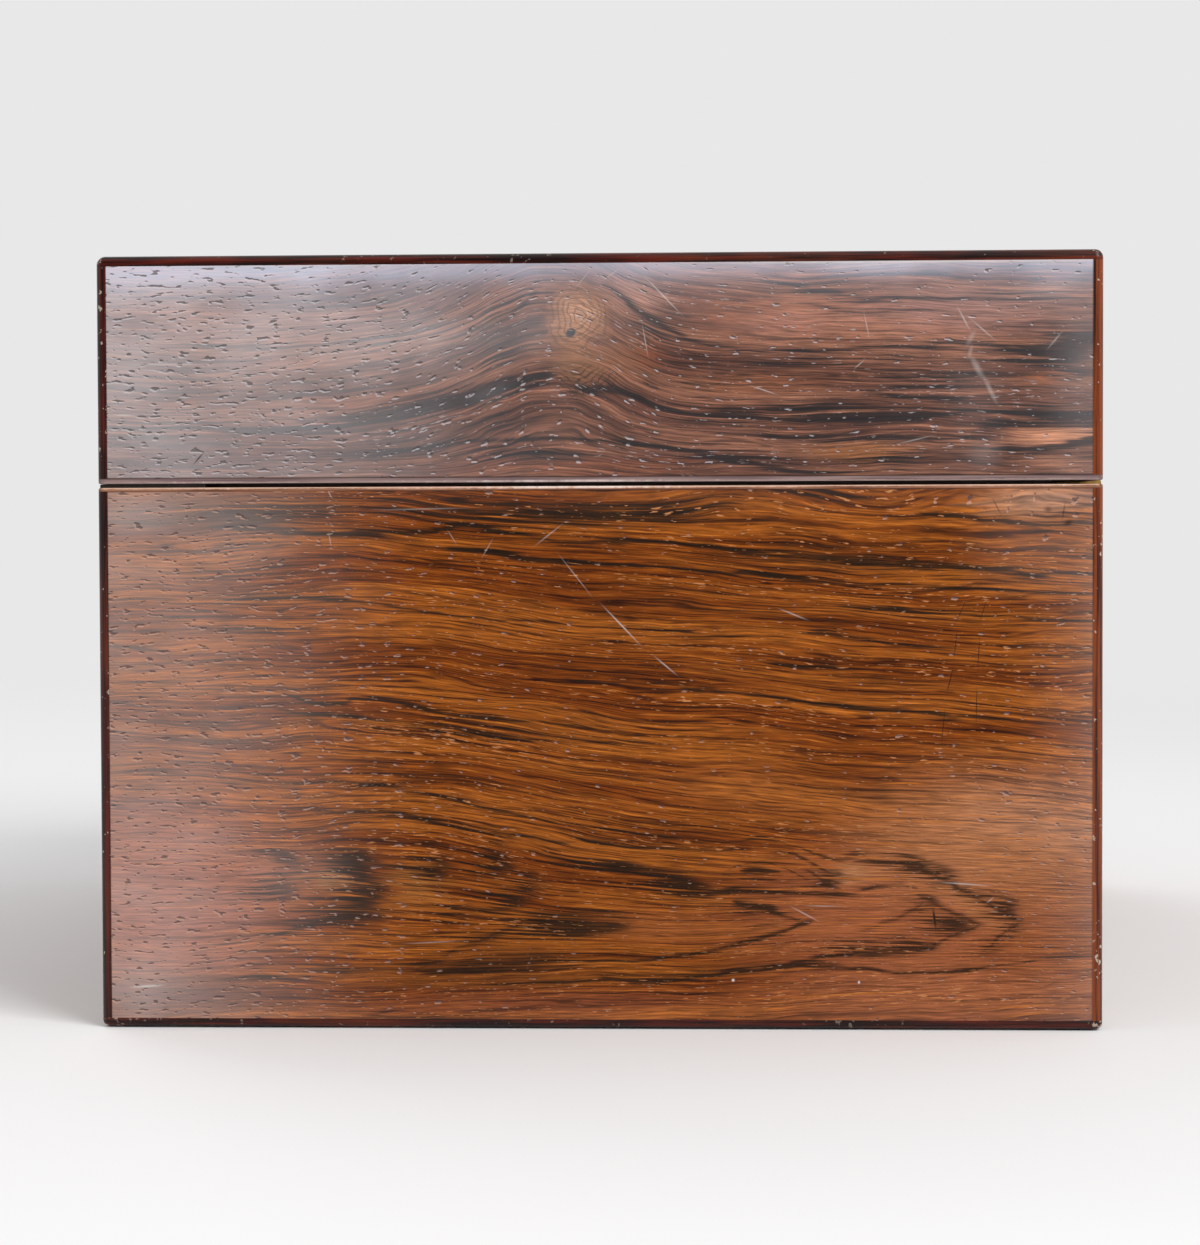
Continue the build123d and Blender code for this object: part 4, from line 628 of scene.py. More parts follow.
def sheened_and_bloomed_wood(panel, wood):
    """The milky bloom of worn polish mixed with a painted sheen of reflected light, bluer near the top
    where it is a painted reflection, with clouds where it is thicker.
    """
    tree, figure = panel.tree, panel.figure
    # How strong the bloom and the painted sheen of reflected light are, along the panel and up it
    bloom = add(tree, "FloatCurve", Value=panel.share, curves=curve_along(figure, figure["bloom_and_sheen_along"]))
    upper = add(tree, "FloatCurve", Value=panel.level, curves=curve_up(figure, figure["bloom_and_sheen_up"]))
    bloom = add(tree, "Math", bloom, upper, operation="ADD")
    panel.mottle = stretched_noise(tree, panel.place, 26, 15, panel.seed + 23, detail=3.0)
    for *shape, depth in figure["clouds"]:
        spot = oval(tree, panel.place, *shape, depth=depth)
        bloom = add(tree, "Math", bloom, spot, operation="ADD")
    uneven = add(tree, "MapRange", panel.mottle, 0.3, 0.7, 0.82, 1.18, **OPEN)
    bloom = add(tree, "Math", bloom, uneven, operation="MULTIPLY")
    # Painted reflection: the bluish colour near the top edge stands for bright light reflected there
    bluish_reflection = add(tree, "MapRange", upper, 0.0, 0.4, **SOFT)
    colour = tint(tree, bluish_reflection, *[linear(code) for code in figure["bloom_and_sheen"]])
    return add(tree, "Mix", sockets={FACTOR: bloom, UNDER: wood, OVER: colour}, data_type="RGBA",
               blend_type="SCREEN")


def marked_wood(panel, wood):
    """Pores with a painted highlight on the rim beside each, the pale flecks in them, scratch marks with
    painted edge highlights among them, and dents. Returns the wood and its hollows."""
    tree, figure, seed = panel.tree, panel.figure, panel.seed
    pore_share, pore_code, pore_along = figure["pores"]
    pore_count = add(tree, "FloatCurve", Value=panel.share,
                     curves=curve_along(figure, pore_along, pore_share))
    pores = dashes(tree, panel.grain_place, 3.0, 0.8, seed + 1, pore_count, 0.05)
    # Painted highlight: a pale copy of the pores, moved a little, stands for light caught on their rims
    lit_place = add(tree, "VectorMath", panel.grain_place, (0.2, 0.3, 0), operation="ADD")
    pore_highlights = dashes(tree, lit_place, 3.0, 0.8, seed + 1, pore_count, 0.05)
    fleck_share, fleck_code, fleck_along = figure["flecks"]
    fleck_count = add(tree, "FloatCurve", Value=panel.share,
                      curves=curve_along(figure, fleck_along, fleck_share))
    clustered = add(tree, "MapRange", panel.sway, 0.4, 0.6, 0.45, 1.15, **OPEN)
    fleck_count = add(tree, "Math", fleck_count, clustered, operation="MULTIPLY")
    flecks = dashes(tree, panel.grain_place, 3.6, 0.34, seed + 2, fleck_count, 0.03)
    marks = ((pore_highlights, 0.5, figure["pore_highlights"]), (pores, 0.75, pore_code), (flecks, 0.6, fleck_code))
    for mask, share, code in marks:
        wood = tint(tree, add(tree, "Math", mask, share, operation="MULTIPLY"), wood, linear(code))
    # Pale scratch marks, among them painted highlights along an edge, and dark dents
    for ovals, code in ((figure["scratches_and_highlights"], "cdc4c0"), (figure["dents"], "2a1810")):
        for *shape, depth in ovals:
            wood = tint(tree, oval(tree, panel.place, *shape, depth=depth), wood, linear(code))
    return wood, add(tree, "Math", pores, flecks, operation="MAXIMUM")


def knot_eye(panel, wood):
    """The tan eye of a knot, with faint rings and a dark heart, and a glow and curved lines under it."""
    tree, place, knot = panel.tree, panel.place, panel.figure["knot"]
    drift = stretched_noise(tree, place, 9, 7, panel.seed + 31, detail=3.0)
    far = oval_distance(tree, place, *knot["eye"])
    wavy = add(tree, "MapRange", drift, 0.3, 0.7, -0.16, 0.16, **OPEN)
    far = add(tree, "Math", far, wavy, operation="ADD")
    eye = add(tree, "MapRange", far, 1.08, 0.72, **SOFT)
    rings, arcs = [add(tree, "Math", add(tree, "Math", far, rate, operation="MULTIPLY"), operation="SINE")
                   for rate in (34.0, 42.0)]
    ring_dark = add(tree, "MapRange", rings, 0.0, 1.0, 0.0, 0.55, **SOFT)
    arc_dark = add(tree, "MapRange", arcs, 0.2, 1.0, 0.0, 0.75, **SOFT)
    tan = tint(tree, add(tree, "MapRange", far, 0.0, 1.0, **SOFT), linear("ac7c5c"), linear("7e523a"))
    tan = tint(tree, ring_dark, tan, linear("5d3a2a"))
    wood = tint(tree, eye, wood, tan)
    wood = tint(tree, oval(tree, place, *knot["glow"], depth=0.5, soft=0.7), wood, linear("8f6344"))
    under = oval(tree, place, *knot["arcs"], soft=0.6)
    wood = tint(tree, add(tree, "Math", arc_dark, under, operation="MULTIPLY"), wood, linear("3a2418"))
    return tint(tree, oval(tree, place, *knot["heart"], soft=0.5), wood, linear("35353a"))


def wild_veins(tree, place, seed, depth):
    """Dark veins that follow the grain, join and part, and fade out and in along their length."""
    courses = stretched_noise(tree, place, 520, 15, seed + 37, detail=1.4, roughness=0.45)
    off = add(tree, "Math", courses, 0.5, operation="SUBTRACT")
    off = add(tree, "Math", off, operation="ABSOLUTE")
    near = add(tree, "MapRange", off, 0.034, 0.0, **SOFT)
    strength = stretched_noise(tree, place, 90, 9, seed + 41, detail=2.0)
    strong = add(tree, "MapRange", strength, 0.36, 0.56, 0.25, depth, **SOFT)
    return add(tree, "Math", near, strong, operation="MULTIPLY")


def plain_figure(seed, span, height, base, bloom_and_sheen, sweep):
    """A rosewood figure for a face that the photograph doesn't show. Its veins come from wild_veins, and
    sweep is how far the grain swings up and down the panel. Broad streaks of darker red wood run through
    it."""
    half = span / 2
    streaks = ((-0.2, 0.42, 0.24, 9, -4, 0.62), (0.24, 0.6, 0.2, 7, 5, 0.55), (-0.3, 0.8, 0.16, 6, 3, 0.5),
               (0.22, 0.2, 0.22, 8, 4, 0.6), (0.02, 0.07, 0.3, 5, 0, 0.5))
    return {
        "seed": seed, "span": span, "height": height, "base": base, "wild": 1.05,
        "drift": ((150, 60, sweep), (60, 26, sweep / 4)) + FINE_DRIFT,
        "flow": [(-half, 0), (half, 0)], "rise": [(0, 0), (height, 0)],
        # The pale colour after lines is the painted highlight on the pores' rims
        "wood": ("a35f2b", "6f370f", "2d1006", "1b0f09"), "lines": 0.95, "pore_highlights": "c09a84", "bold": 1.15,
        "veins": [], "patches": [], "knot": None, "clouds": [],
        "tints": [(x * span, y * height, half_x * span, half_y, turn + seed, "3a1708", depth)
                  for x, y, half_x, half_y, turn, depth in streaks],
        "dents": [(-half + 4.9, 0, 0.6, 900, 0, 0.8), (half - 4.9, 0, 0.6, 900, 0, 0.8)],
        # Bloom of worn polish mixed with a painted sheen of reflected light, stronger at the sides and the
        # top
        "bloom_and_sheen_along": [(-half, bloom_and_sheen), (-half / 2, bloom_and_sheen / 3), (0, 0.02), (half / 2, bloom_and_sheen / 4),
                       (half, bloom_and_sheen * 0.8)],
        "bloom_and_sheen_up": [(0, 0.08), (14, 0), (height - 40, bloom_and_sheen / 8), (height, bloom_and_sheen / 2)],
        "bloom_and_sheen": ("ab958c", "aaa6ac"),
        "pores": (0.4, "3c2c28", [(-half, 1), (0, 0.4), (half, 1)]),
        "flecks": (0.35, "b98a5c", [(-half, 0.5), (0, 1), (half, 0.5)]),
        "scratches_and_highlights": [(-0.2 * span, 0.5 * height, 14, 0.25, -30 + 9 * seed, 0.35),
                      (0.27 * span, 0.34 * height, 9, 0.25, 48 - 5 * seed, 0.3),
                      (0.08 * span, 0.8 * height, 12, 0.22, 12, 0.3)],
    }


def worn_share(tree, place, seed, corner):
    """Where polished edges have been knocked and rubbed pale: small chips, more of them in some places
    and most of them where corner is near 1."""
    chips = add(tree, "TexNoise", Vector=place, Scale=700.0, Detail=3.0, Roughness=0.6)
    gangs = add(tree, "TexNoise", Vector=place, Scale=38.0 + seed, Detail=2.0)
    edge = add(tree, "MapRange", gangs, 0.42, 0.7, 0.72, 0.57)
    edge = add(tree, "Math", corner, -0.13, edge, operation="MULTIPLY_ADD")
    over = add(tree, "Math", chips, edge, operation="SUBTRACT")
    return add(tree, "MapRange", over, 0.0, 0.04)


def side_gaps(tree, axes, half_x=BOX_HALF_X, half_y=BOX_HALF_Y):
    """How far a point is from the ends, and from the front or back, of the box or a smaller oblong, in
    metres."""
    gaps = []
    for axis, limit in (("X", half_x), ("Y", half_y)):
        flat = add(tree, "Math", axes.outputs[axis], operation="ABSOLUTE")
        gaps.append(add(tree, "Math", limit, flat, operation="SUBTRACT"))
    return gaps


def corner_share(tree, axes, reach):
    """1 at the upright corners of the box, falling to 0 over the reach in metres."""
    from_end, from_front = side_gaps(tree, axes)
    worst = add(tree, "Math", from_end, from_front, operation="MAXIMUM")
    return add(tree, "MapRange", worst, reach, 0.0)


def edging(name, upright, finish):
    """Solid rosewood strip, scraped round and polished nearly black, with red wood showing in streaks
    along it and knocked corners that show pale. Two of the upright strips are painted lighter, as painted
    light where the key light falls on them. Upright strips have their grain along Z, the others round the
    box."""
    material, tree, shader = new_material(name, IOR=1.5, Coat_Weight=finish.edge_polish,
                                          Coat_Roughness=0.14, Specular_IOR_Level=0.2)
    place = add(tree, "TexCoord")
    axes = add(tree, "SeparateXYZ", place.outputs["Object"])
    squeeze = (1100, 1100, 24) if upright else (26, 26, 1100)
    drawn = add(tree, "VectorMath", place.outputs["Object"], squeeze, operation="MULTIPLY")
    streak = add(tree, "TexNoise", Vector=drawn, Scale=1.0, Detail=4.0, Roughness=0.65)
    patch = add(tree, "TexNoise", Vector=place.outputs["Object"], Scale=26.0, Detail=2.0)
    red_share = add(tree, "MapRange", streak, 0.44, 0.62)
    red = tint(tree, red_share, opaque(finish.edge_dark), opaque(finish.edge_red))
    rubbed = add(tree, "MapRange", patch, 0.5, 0.72, 0.0, 0.5)
    if upright:
        # Painted light: the two corner strips on the side that the key light falls on are painted lighter
        product = add(tree, "Math", axes.outputs["X"], axes.outputs["Y"], operation="MULTIPLY")
        lighter = add(tree, "Math", product, 0.0, operation="GREATER_THAN")
        rubbed = add(tree, "Math", rubbed, lighter, operation="MAXIMUM")
    # Where the lighter wood shows, for the rubbed patches and the painted light alike
    bare_and_lit = add(tree, "MapRange", streak, 0.36, 0.56, 0.1, 1.0)
    rubbed = add(tree, "Math", rubbed, bare_and_lit, operation="MULTIPLY")
    colour = tint(tree, rubbed, red, opaque(finish.edge_light))
    corner = corner_share(tree, axes, 0.007)
    chips = worn_share(tree, place.outputs["Object"], 3 if upright else 0, 0.0 if upright else corner)
    near_corner = add(tree, "MapRange", corner, 0.0, 1.0, 0.3, 1.0)
    chips = add(tree, "Math", chips, near_corner, operation="MULTIPLY")
    colour = tint(tree, chips, colour, linear("b3a594"))
    rough = add(tree, "MapRange", patch, 0.3, 0.7, 0.24, 0.4)
    sunk = add(tree, "Math", streak, chips, operation="SUBTRACT")
    surface(tree, shader, colour, rough, sunk, 0.4, 0.15)
    return material


def rim_facing(name, codes, arris_z, thickness):
    """Thin rosewood facing at the gap. Its outer arris is rubbed pale for half a millimetre and carries a
    painted highlight, more in some places than in others, and nearly white where it has chipped and where
    the painted highlight glints. A dark glue line shows where the facing meets the veneer, and further in
    the wood is dark and polished. The grain runs along each strip, to a mitre at each corner."""
    material, tree, shader = new_material(name, IOR=1.5, Coat_Weight=0.1, Coat_Roughness=0.2,
                                          Roughness=0.45, Specular_IOR_Level=0.2)
    reach = 0.5
    place = add(tree, "TexCoord").outputs["Object"]
    axes = add(tree, "SeparateXYZ", place)
    drop = add(tree, "Math", axes.outputs["Z"], arris_z * MM, operation="SUBTRACT")
    from_arris = add(tree, "Math", drop, operation="ABSOLUTE")
    from_end, from_front = side_gaps(tree, axes)
    inset = add(tree, "Math", from_end, from_front, operation="MINIMUM")
    drop = add(tree, "Math", from_arris, inset, operation="MAXIMUM")
    wear = add(tree, "TexNoise", Vector=place, Scale=420.0, Detail=4.0, Roughness=0.7)
    gang = add(tree, "TexNoise", Vector=place, Scale=30.0, Detail=2.0)
    both = add(tree, "Math", gang, 1.6, wear, operation="MULTIPLY_ADD")
    depth = add(tree, "MapRange", both, 1.0, 1.5, reach * MM / 2, reach * MM)
    gap = add(tree, "Math", depth, drop, operation="SUBTRACT")
    # Pale band along the arris: rubbed wear and a painted highlight together
    rubbed = add(tree, "MapRange", gap, -0.1 * MM, 0.15 * MM)
    at_end = add(tree, "Math", from_front, from_end, operation="GREATER_THAN")
    along = add(tree, "Mix", sockets={FACTOR: at_end, 2: axes.outputs["X"], 3: axes.outputs["Y"]})
    side = add(tree, "Mix", sockets={FACTOR: at_end, 2: axes.outputs["Y"], 3: axes.outputs["X"]})
    grain = add(tree, "CombineXYZ", along, side, axes.outputs["Z"])
    grain = add(tree, "VectorMath", grain, (50, 900, 1800), operation="MULTIPLY")
    streak = add(tree, "TexNoise", Vector=grain, Scale=1.0, Detail=3.0)
    dark, middle, pale, white = (linear(code) for code in codes)
    outer = tint(tree, add(tree, "MapRange", streak, 0.38, 0.62), dark, middle)
    inner = tint(tree, add(tree, "MapRange", streak, 0.4, 0.66), linear("2c120b"), linear("6a3418"))
    wood = tint(tree, add(tree, "MapRange", inset, 0.6 * MM, 1.6 * MM), outer, inner)
    # Nearly white spots: chips and painted glints of the highlight together
    chipped = add(tree, "MapRange", both, 1.36, 1.6)
    bare_and_lit = tint(tree, chipped, pale, white)
    colour = tint(tree, rubbed, wood, bare_and_lit)
    glue = add(tree, "MapRange", from_arris, (thickness - 0.2) * MM, (thickness - 0.05) * MM, 0.0, 0.75)
    colour = tint(tree, glue, colour, linear("2a1816"))
    surface(tree, shader, colour, None, wear, 0.4, 0.1)
    return material


def planed_wood(name, codes, pitch, roughness, polish, pores):
    """Planed or polished wood inside the box, with its grain along each board: the fibres follow the longer
    run of the face, so a face that looks along X has them along Y."""
    material, tree, shader = new_material(name, IOR=1.5, Coat_Weight=polish, Coat_Roughness=0.2,
                                          Roughness=roughness)
    place = add(tree, "TexCoord")
    axes = add(tree, "SeparateXYZ", place.outputs["Object"])
    facing = add(tree, "SeparateXYZ", place.outputs["Normal"])
    looks_along_x = add(tree, "Math", facing.outputs["X"], operation="ABSOLUTE")
    turned = add(tree, "Math", looks_along_x, 0.5, operation="GREATER_THAN")
    along = add(tree, "Mix", sockets={FACTOR: turned, 2: axes.outputs["X"], 3: axes.outputs["Y"]})
    side = add(tree, "Mix", sockets={FACTOR: turned, 2: axes.outputs["Y"], 3: axes.outputs["X"]})
    across = add(tree, "Math", side, axes.outputs["Z"], operation="ADD")
    flat = add(tree, "CombineXYZ", along, across)
    flat = add(tree, "VectorMath", flat, (PER_MM, PER_MM, 0), operation="MULTIPLY")
    band = stretched_noise(tree, flat, 120, pitch * 5, 2.0, detail=2.0)
    line = stretched_noise(tree, flat, 45, pitch, 4.0, detail=4.0, roughness=0.6)
    fibre = stretched_noise(tree, flat, 6, 0.3, 6.0, detail=2.0)
    light, middle, dark = (linear(code) for code in codes)
    wood = tint(tree, add(tree, "MapRange", band, 0.3, 0.7), light, middle)
    wood = tint(tree, add(tree, "MapRange", line, 0.5, 0.68, 0.0, 0.8), wood, dark)
    wood = tint(tree, add(tree, "MapRange", fibre, 0.55, 0.75, 0.0, pores), wood, dark)
    surface(tree, shader, wood, None, fibre, 0.5, 0.08)
    return material


def aged_metal(name, bright, dull, roughness, scuff):
    """Filed and polished metal gone dull with handling: long soft scuffs, and tarnish that gathers in
    patches."""
    material, tree, shader = new_material(name, Metallic=1.0)
    place = add(tree, "TexCoord").outputs["Object"]
    cloud = add(tree, "TexNoise", Vector=place, Scale=110.0, Detail=4.0, Roughness=0.6)
    drawn = add(tree, "VectorMath", place, (150, 2600, 2600), operation="MULTIPLY")
    scuffs = add(tree, "TexNoise", Vector=drawn, Scale=1.0, Detail=3.0)
    colour = tint(tree, add(tree, "MapRange", cloud, 0.42, 0.68), opaque(bright), opaque(dull))
    rough = add(tree, "MapRange", cloud, 0.35, 0.7, roughness, roughness + 0.22)
    surface(tree, shader, colour, rough, scuffs, scuff, 0.05)
    return material


def velvet(name, base, finish):
    """Short cotton velvet, glued over card: a soft sheen where the pile leans away, brushed lighter and
    darker in patches, and pile tufts drawn 0.6 mm apart, coarser than life so that they show."""
    material, tree, shader = new_material(name, Roughness=0.95, Sheen_Weight=finish.velvet_sheen,
                                          Sheen_Roughness=0.4, Specular_IOR_Level=0.15,
                                          Sheen_Tint=linear("c98a9c"))
    place = add(tree, "TexCoord").outputs["Object"]
    brushed = add(tree, "TexNoise", Vector=place, Scale=34.0, Detail=3.0, Roughness=0.6, Distortion=1.4)
    pile = add(tree, "TexNoise", Vector=place, Scale=PER_MM / 0.6, Detail=2.0)
    colour = tint(tree, add(tree, "MapRange", brushed, 0.36, 0.64), opaque(base, 0.55), opaque(base))
    colour = tint(tree, add(tree, "MapRange", pile, 0.5, 0.8, 0.0, 0.5), colour, opaque(base, 1.5, 0.006))
    surface(tree, shader, colour, None, pile, 0.5, 0.25)
    return material


def baize(name, base):
    """Napped wool cloth glued under the base: matt, with matted fibres every way and no visible weave."""
    material, tree, shader = new_material(name, Roughness=1.0, Sheen_Weight=0.3, Specular_IOR_Level=0.1)
    place = add(tree, "TexCoord").outputs["Object"]
    nap = add(tree, "TexNoise", Vector=place, Scale=PER_MM / 0.9, Detail=5.0, Roughness=0.7, Distortion=2.0)
    colour = tint(tree, add(tree, "MapRange", nap, 0.4, 0.75), opaque(base), opaque(base, 1.9, 0.01))
    surface(tree, shader, colour, None, nap, 0.7, 0.3)
    return material


def silk_ribbon(name, base):
    """Ribbed silk ribbon: fine cross ribs 0.5 mm apart, drawn from the ribbon's own lengthwise UV, with
    painted shade in the hollows between the ribs, a plain selvedge along each side and a soft satin gloss."""
    material, tree, shader = new_material(name, Roughness=0.45, Sheen_Weight=0.1, Specular_IOR_Level=0.4)
    cloth = add(tree, "UVMap", uv_map="ribbon")
    axes = add(tree, "SeparateXYZ", cloth)
    ribs = add(tree, "Math", axes.outputs["Y"], 2 * pi * 2, operation="MULTIPLY")
    wave = add(tree, "Math", ribs, operation="SINE")
    middle = add(tree, "Math", axes.outputs["X"], operation="ABSOLUTE")
    selvedge = add(tree, "MapRange", middle, 6.9, 7.2)
    flat = add(tree, "Math", 1.0, selvedge, operation="SUBTRACT")
    wave = add(tree, "Math", wave, flat, operation="MULTIPLY")
    # Painted shade: the ribbon is darker in the hollows between the ribs
    colour = tint(tree, add(tree, "MapRange", wave, -1.0, 1.0), opaque(base, 0.6), opaque(base))
    fade = add(tree, "TexNoise", Vector=cloth, Scale=0.22, Detail=2.0)
    colour = tint(tree, add(tree, "MapRange", fade, 0.5, 0.8, 0.0, 0.3), colour, linear("96485a"))
    surface(tree, shader, colour, None, wave, 0.5, 0.12)
    return material


def silvered_glass(name):
    """Old mirror plate: bright silver behind glass, greying and spotted brown towards its edges."""
    material, tree, shader = new_material(name, Metallic=1.0)
    place = add(tree, "TexCoord").outputs["Object"]
    axes = add(tree, "SeparateXYZ", place)
    half_x, half_y = [half - SLIP_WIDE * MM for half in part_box("mirror_slip")[1][:2]]
    inward = add(tree, "Math", *side_gaps(tree, axes, half_x, half_y), operation="MINIMUM")
    spots = add(tree, "TexNoise", Vector=place, Scale=260.0, Detail=5.0, Roughness=0.7)
    edge = add(tree, "MapRange", inward, 0.0, 0.028, 0.56, 0.8)
    over = add(tree, "Math", spots, edge, operation="SUBTRACT")
    foxed = add(tree, "MapRange", over, 0.0, 0.05, 0.0, 0.85)
    grey = add(tree, "MapRange", inward, 0.0, 0.02, 0.35, 0.0)
    colour = tint(tree, grey, linear("e6eae8"), linear("a8a8a0"))
    colour = tint(tree, foxed, colour, linear("4a3a2c"))
    surface(tree, shader, colour, add(tree, "MapRange", foxed, 0.0, 1.0, 0.015, 0.4))
    return material


def gilt_leather(name, base):
    """Thin dyed skiver on the mirror's frame, tooled in gold with two fillets and a run of lozenges
    between, the gold worn through in places."""
    lozenge_long, lozenge_middle, lozenge_half = 4.0, 4.8, 1.15
    material, tree, shader = new_material(name, Coat_Weight=0.15, Coat_Roughness=0.3)
    place = add(tree, "TexCoord").outputs["Object"]
    axes = add(tree, "SeparateXYZ", place)
    gaps = side_gaps(tree, axes, *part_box("mirror_slip")[1][:2])
    inward = add(tree, "Math", *gaps, operation="MINIMUM")
    inward = add(tree, "Math", inward, PER_MM, operation="MULTIPLY")
    on_end = add(tree, "Math", *gaps, operation="LESS_THAN")
    along = add(tree, "Mix", sockets={FACTOR: on_end, 2: axes.outputs["X"], 3: axes.outputs["Y"]})
    run = add(tree, "Math", along, PER_MM / lozenge_long, operation="MULTIPLY")
    run = add(tree, "Math", run, 0.5, operation="PINGPONG")
    run = add(tree, "Math", run, lozenge_long, operation="MULTIPLY")
    gold = 0.0
    for fillet_at, half_wide in ((1.3, 0.28), (2.2, 0.14), (7.4, 0.14), (8.3, 0.28)):
        off = add(tree, "Math", inward, fillet_at, operation="SUBTRACT")
        off = add(tree, "Math", off, operation="ABSOLUTE")
        line = add(tree, "MapRange", off, half_wide + 0.08, half_wide)
        gold = add(tree, "Math", gold, line, operation="MAXIMUM")
    off = add(tree, "Math", inward, lozenge_middle, operation="SUBTRACT")
    off = add(tree, "Math", off, operation="ABSOLUTE")
    diamond = add(tree, "Math", off, run, operation="ADD")
    ring = add(tree, "Math", diamond, lozenge_half, operation="SUBTRACT")
    ring = add(tree, "Math", ring, operation="ABSOLUTE")
    gold = add(tree, "Math", gold, add(tree, "MapRange", ring, 0.3, 0.2), operation="MAXIMUM")
    wear = add(tree, "TexNoise", Vector=place, Scale=240.0, Detail=4.0, Roughness=0.65)
    gold = add(tree, "Math", gold, add(tree, "MapRange", wear, 0.62, 0.52), operation="MULTIPLY")
    grain = add(tree, "TexVoronoi", Vector=place, Scale=PER_MM / 0.7)
    leather = tint(tree, add(tree, "MapRange", grain, 0.0, 0.6), opaque(base), opaque(base, 0.5))
    colour = tint(tree, gold, leather, linear("c9a050"))
    tree.links.new(gold.outputs[0], shader.inputs["Metallic"])
    rough = add(tree, "MapRange", gold, 0.0, 1.0, 0.55, 0.32)
    surface(tree, shader, colour, rough, add(tree, "Math", grain, gold, operation="SUBTRACT"), 0.4, 0.15)
    return material


# Upholstery. Each piece is modelled in millimetres and scaled to metres as it is finished.


def node_box(name):
    """The lowest and highest corners of a CAD node, in millimetres."""
    return tuple(corner * PER_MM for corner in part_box(name))


def made_mesh(bm, name):
    """Turns a bmesh into a mesh and frees it."""
    mesh = bpy.data.meshes.new(name)
    bm.to_mesh(mesh)
    bm.free()
    return mesh


def join_into(bm, part):
    """Adds one bmesh to another and frees it."""
    mesh = made_mesh(part, "part")
    bm.from_mesh(mesh)
    bpy.data.meshes.remove(mesh)


def new_object(name, data):
    """A new object in the scene."""
    made = bpy.data.objects.new(name, data)
    bpy.context.scene.collection.objects.link(made)
    return made


def finish_piece(bm, name, body, material, replaced, sharp=40):
    """Closes a bmesh in millimetres, makes it an object in metres, and sets it on its body."""
    bmesh.ops.remove_doubles(bm, verts=bm.verts, dist=WELD)
    bmesh.ops.recalc_face_normals(bm, faces=bm.faces)
    bmesh.ops.scale(bm, vec=(MM, MM, MM), verts=bm.verts)
    for face in bm.faces:
        face.smooth = True
    mesh = made_mesh(bm, name)
    mesh.set_sharp_from_angle(angle=radians(sharp))
    mesh.materials.append(material)
    piece = new_object(name, mesh)
    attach(piece, body)
    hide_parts(*replaced)
    return piece


def open_edges(bm):
    """The edges that have a face on one side only."""
    return [edge for edge in bm.edges if edge.is_boundary]


def drop_wall(bm, level):
    """Drops a wall from every open edge to the level."""
    for vert in bmesh.ops.extrude_edge_only(bm, edges=open_edges(bm))["geom"]:
        if isinstance(vert, bmesh.types.BMVert):
            vert.co.z = level


def close_under(bm, level):
    """Drops a wall to the level, and closes the flat back with one face for each loop."""
    drop_wall(bm, level)
    bmesh.ops.holes_fill(bm, edges=open_edges(bm), sides=0)


def rolled_edge(distance, radius):
    """The height lost at a distance from a pad's edge, where the velvet is turned down over the card."""
    if distance >= radius:
        return 0.0
    return radius - (radius ** 2 - (radius - distance) ** 2) ** 0.5


def flat_pad(bm, half_u, half_v, thick, place, seed, roll=0.8, swell=0.25, cells=(40, 30)):
    """Adds a velvet pad over card: its face is nearly flat, its edges roll down, and it lies a little
    unevenly.

    The pad is made with its back at the origin and its face up, and place turns and moves it.
    """
    pad = bmesh.new()
    bmesh.ops.create_grid(pad, x_segments=cells[0], y_segments=cells[1], size=1)
    for vert in pad.verts:
        u = half_u * sin(vert.co.x * pi / 2)
        v = half_v * sin(vert.co.y * pi / 2)
        inward = min(half_u - abs(u), half_v - abs(v))
        uneven = swell * (noise.noise(Vector((u / 19, v / 19, seed))) - 0.5)
        vert.co = (u, v, thick - rolled_edge(inward, roll) + min(0.0, uneven * min(1.0, inward / 6)))
    close_under(pad, 0)
    bmesh.ops.transform(pad, matrix=place, verts=pad.verts)
    join_into(bm, pad)


# How many ring rolls there are, and how many steps round each has
ROLL_COUNT = 11
ROLL_STEPS = 16


def ring_rolls(crown, material):
    """Rows of stuffed velvet rolls, pressed together so that a ring can be pushed into each groove."""
    low, high = node_box("ring_rolls")
    centre, half = (low + high) / 2, (high - low) / 2
    pitch = 2 * half.y / ROLL_COUNT
    bm = bmesh.new()
    bmesh.ops.create_grid(bm, x_segments=44, y_segments=ROLL_COUNT * ROLL_STEPS, size=1)
    for vert in bm.verts:
        x = half.x * sin(vert.co.x * pi / 2)
        turn = (vert.co.y + 1) / 2 * ROLL_COUNT
        roll = min(int(turn + 1e-6), ROLL_COUNT - 1)
        angle = pi * (turn - roll)
        uneven = noise.noise(Vector((x / 17, roll * 2.3, 5.1)))
        fine = noise.noise(Vector((x / 4.5, roll * 3.1 + angle, 9.4)))
        sway = 0.5 * noise.noise(Vector((x / 24, roll * 1.7, 0.6))) * sin(angle)
        end = rolled_edge(half.x - abs(x), 2.6)
        rise = (crown - 0.3 + 0.5 * uneven + 0.16 * fine) * max(0.0, sin(angle)) ** 0.8
        y = low.y + pitch * (roll + 0.5 - 0.5 * cos(angle)) + sway
        vert.co = (centre.x + x, y, high.z - crown + rise - end * (0.35 + 0.65 * sin(angle)))
    close_under(bm, low.z)
    piece = finish_piece(bm, "velvet_ring_rolls", "tray", material, ["ring_rolls"], sharp=60)
    return piece


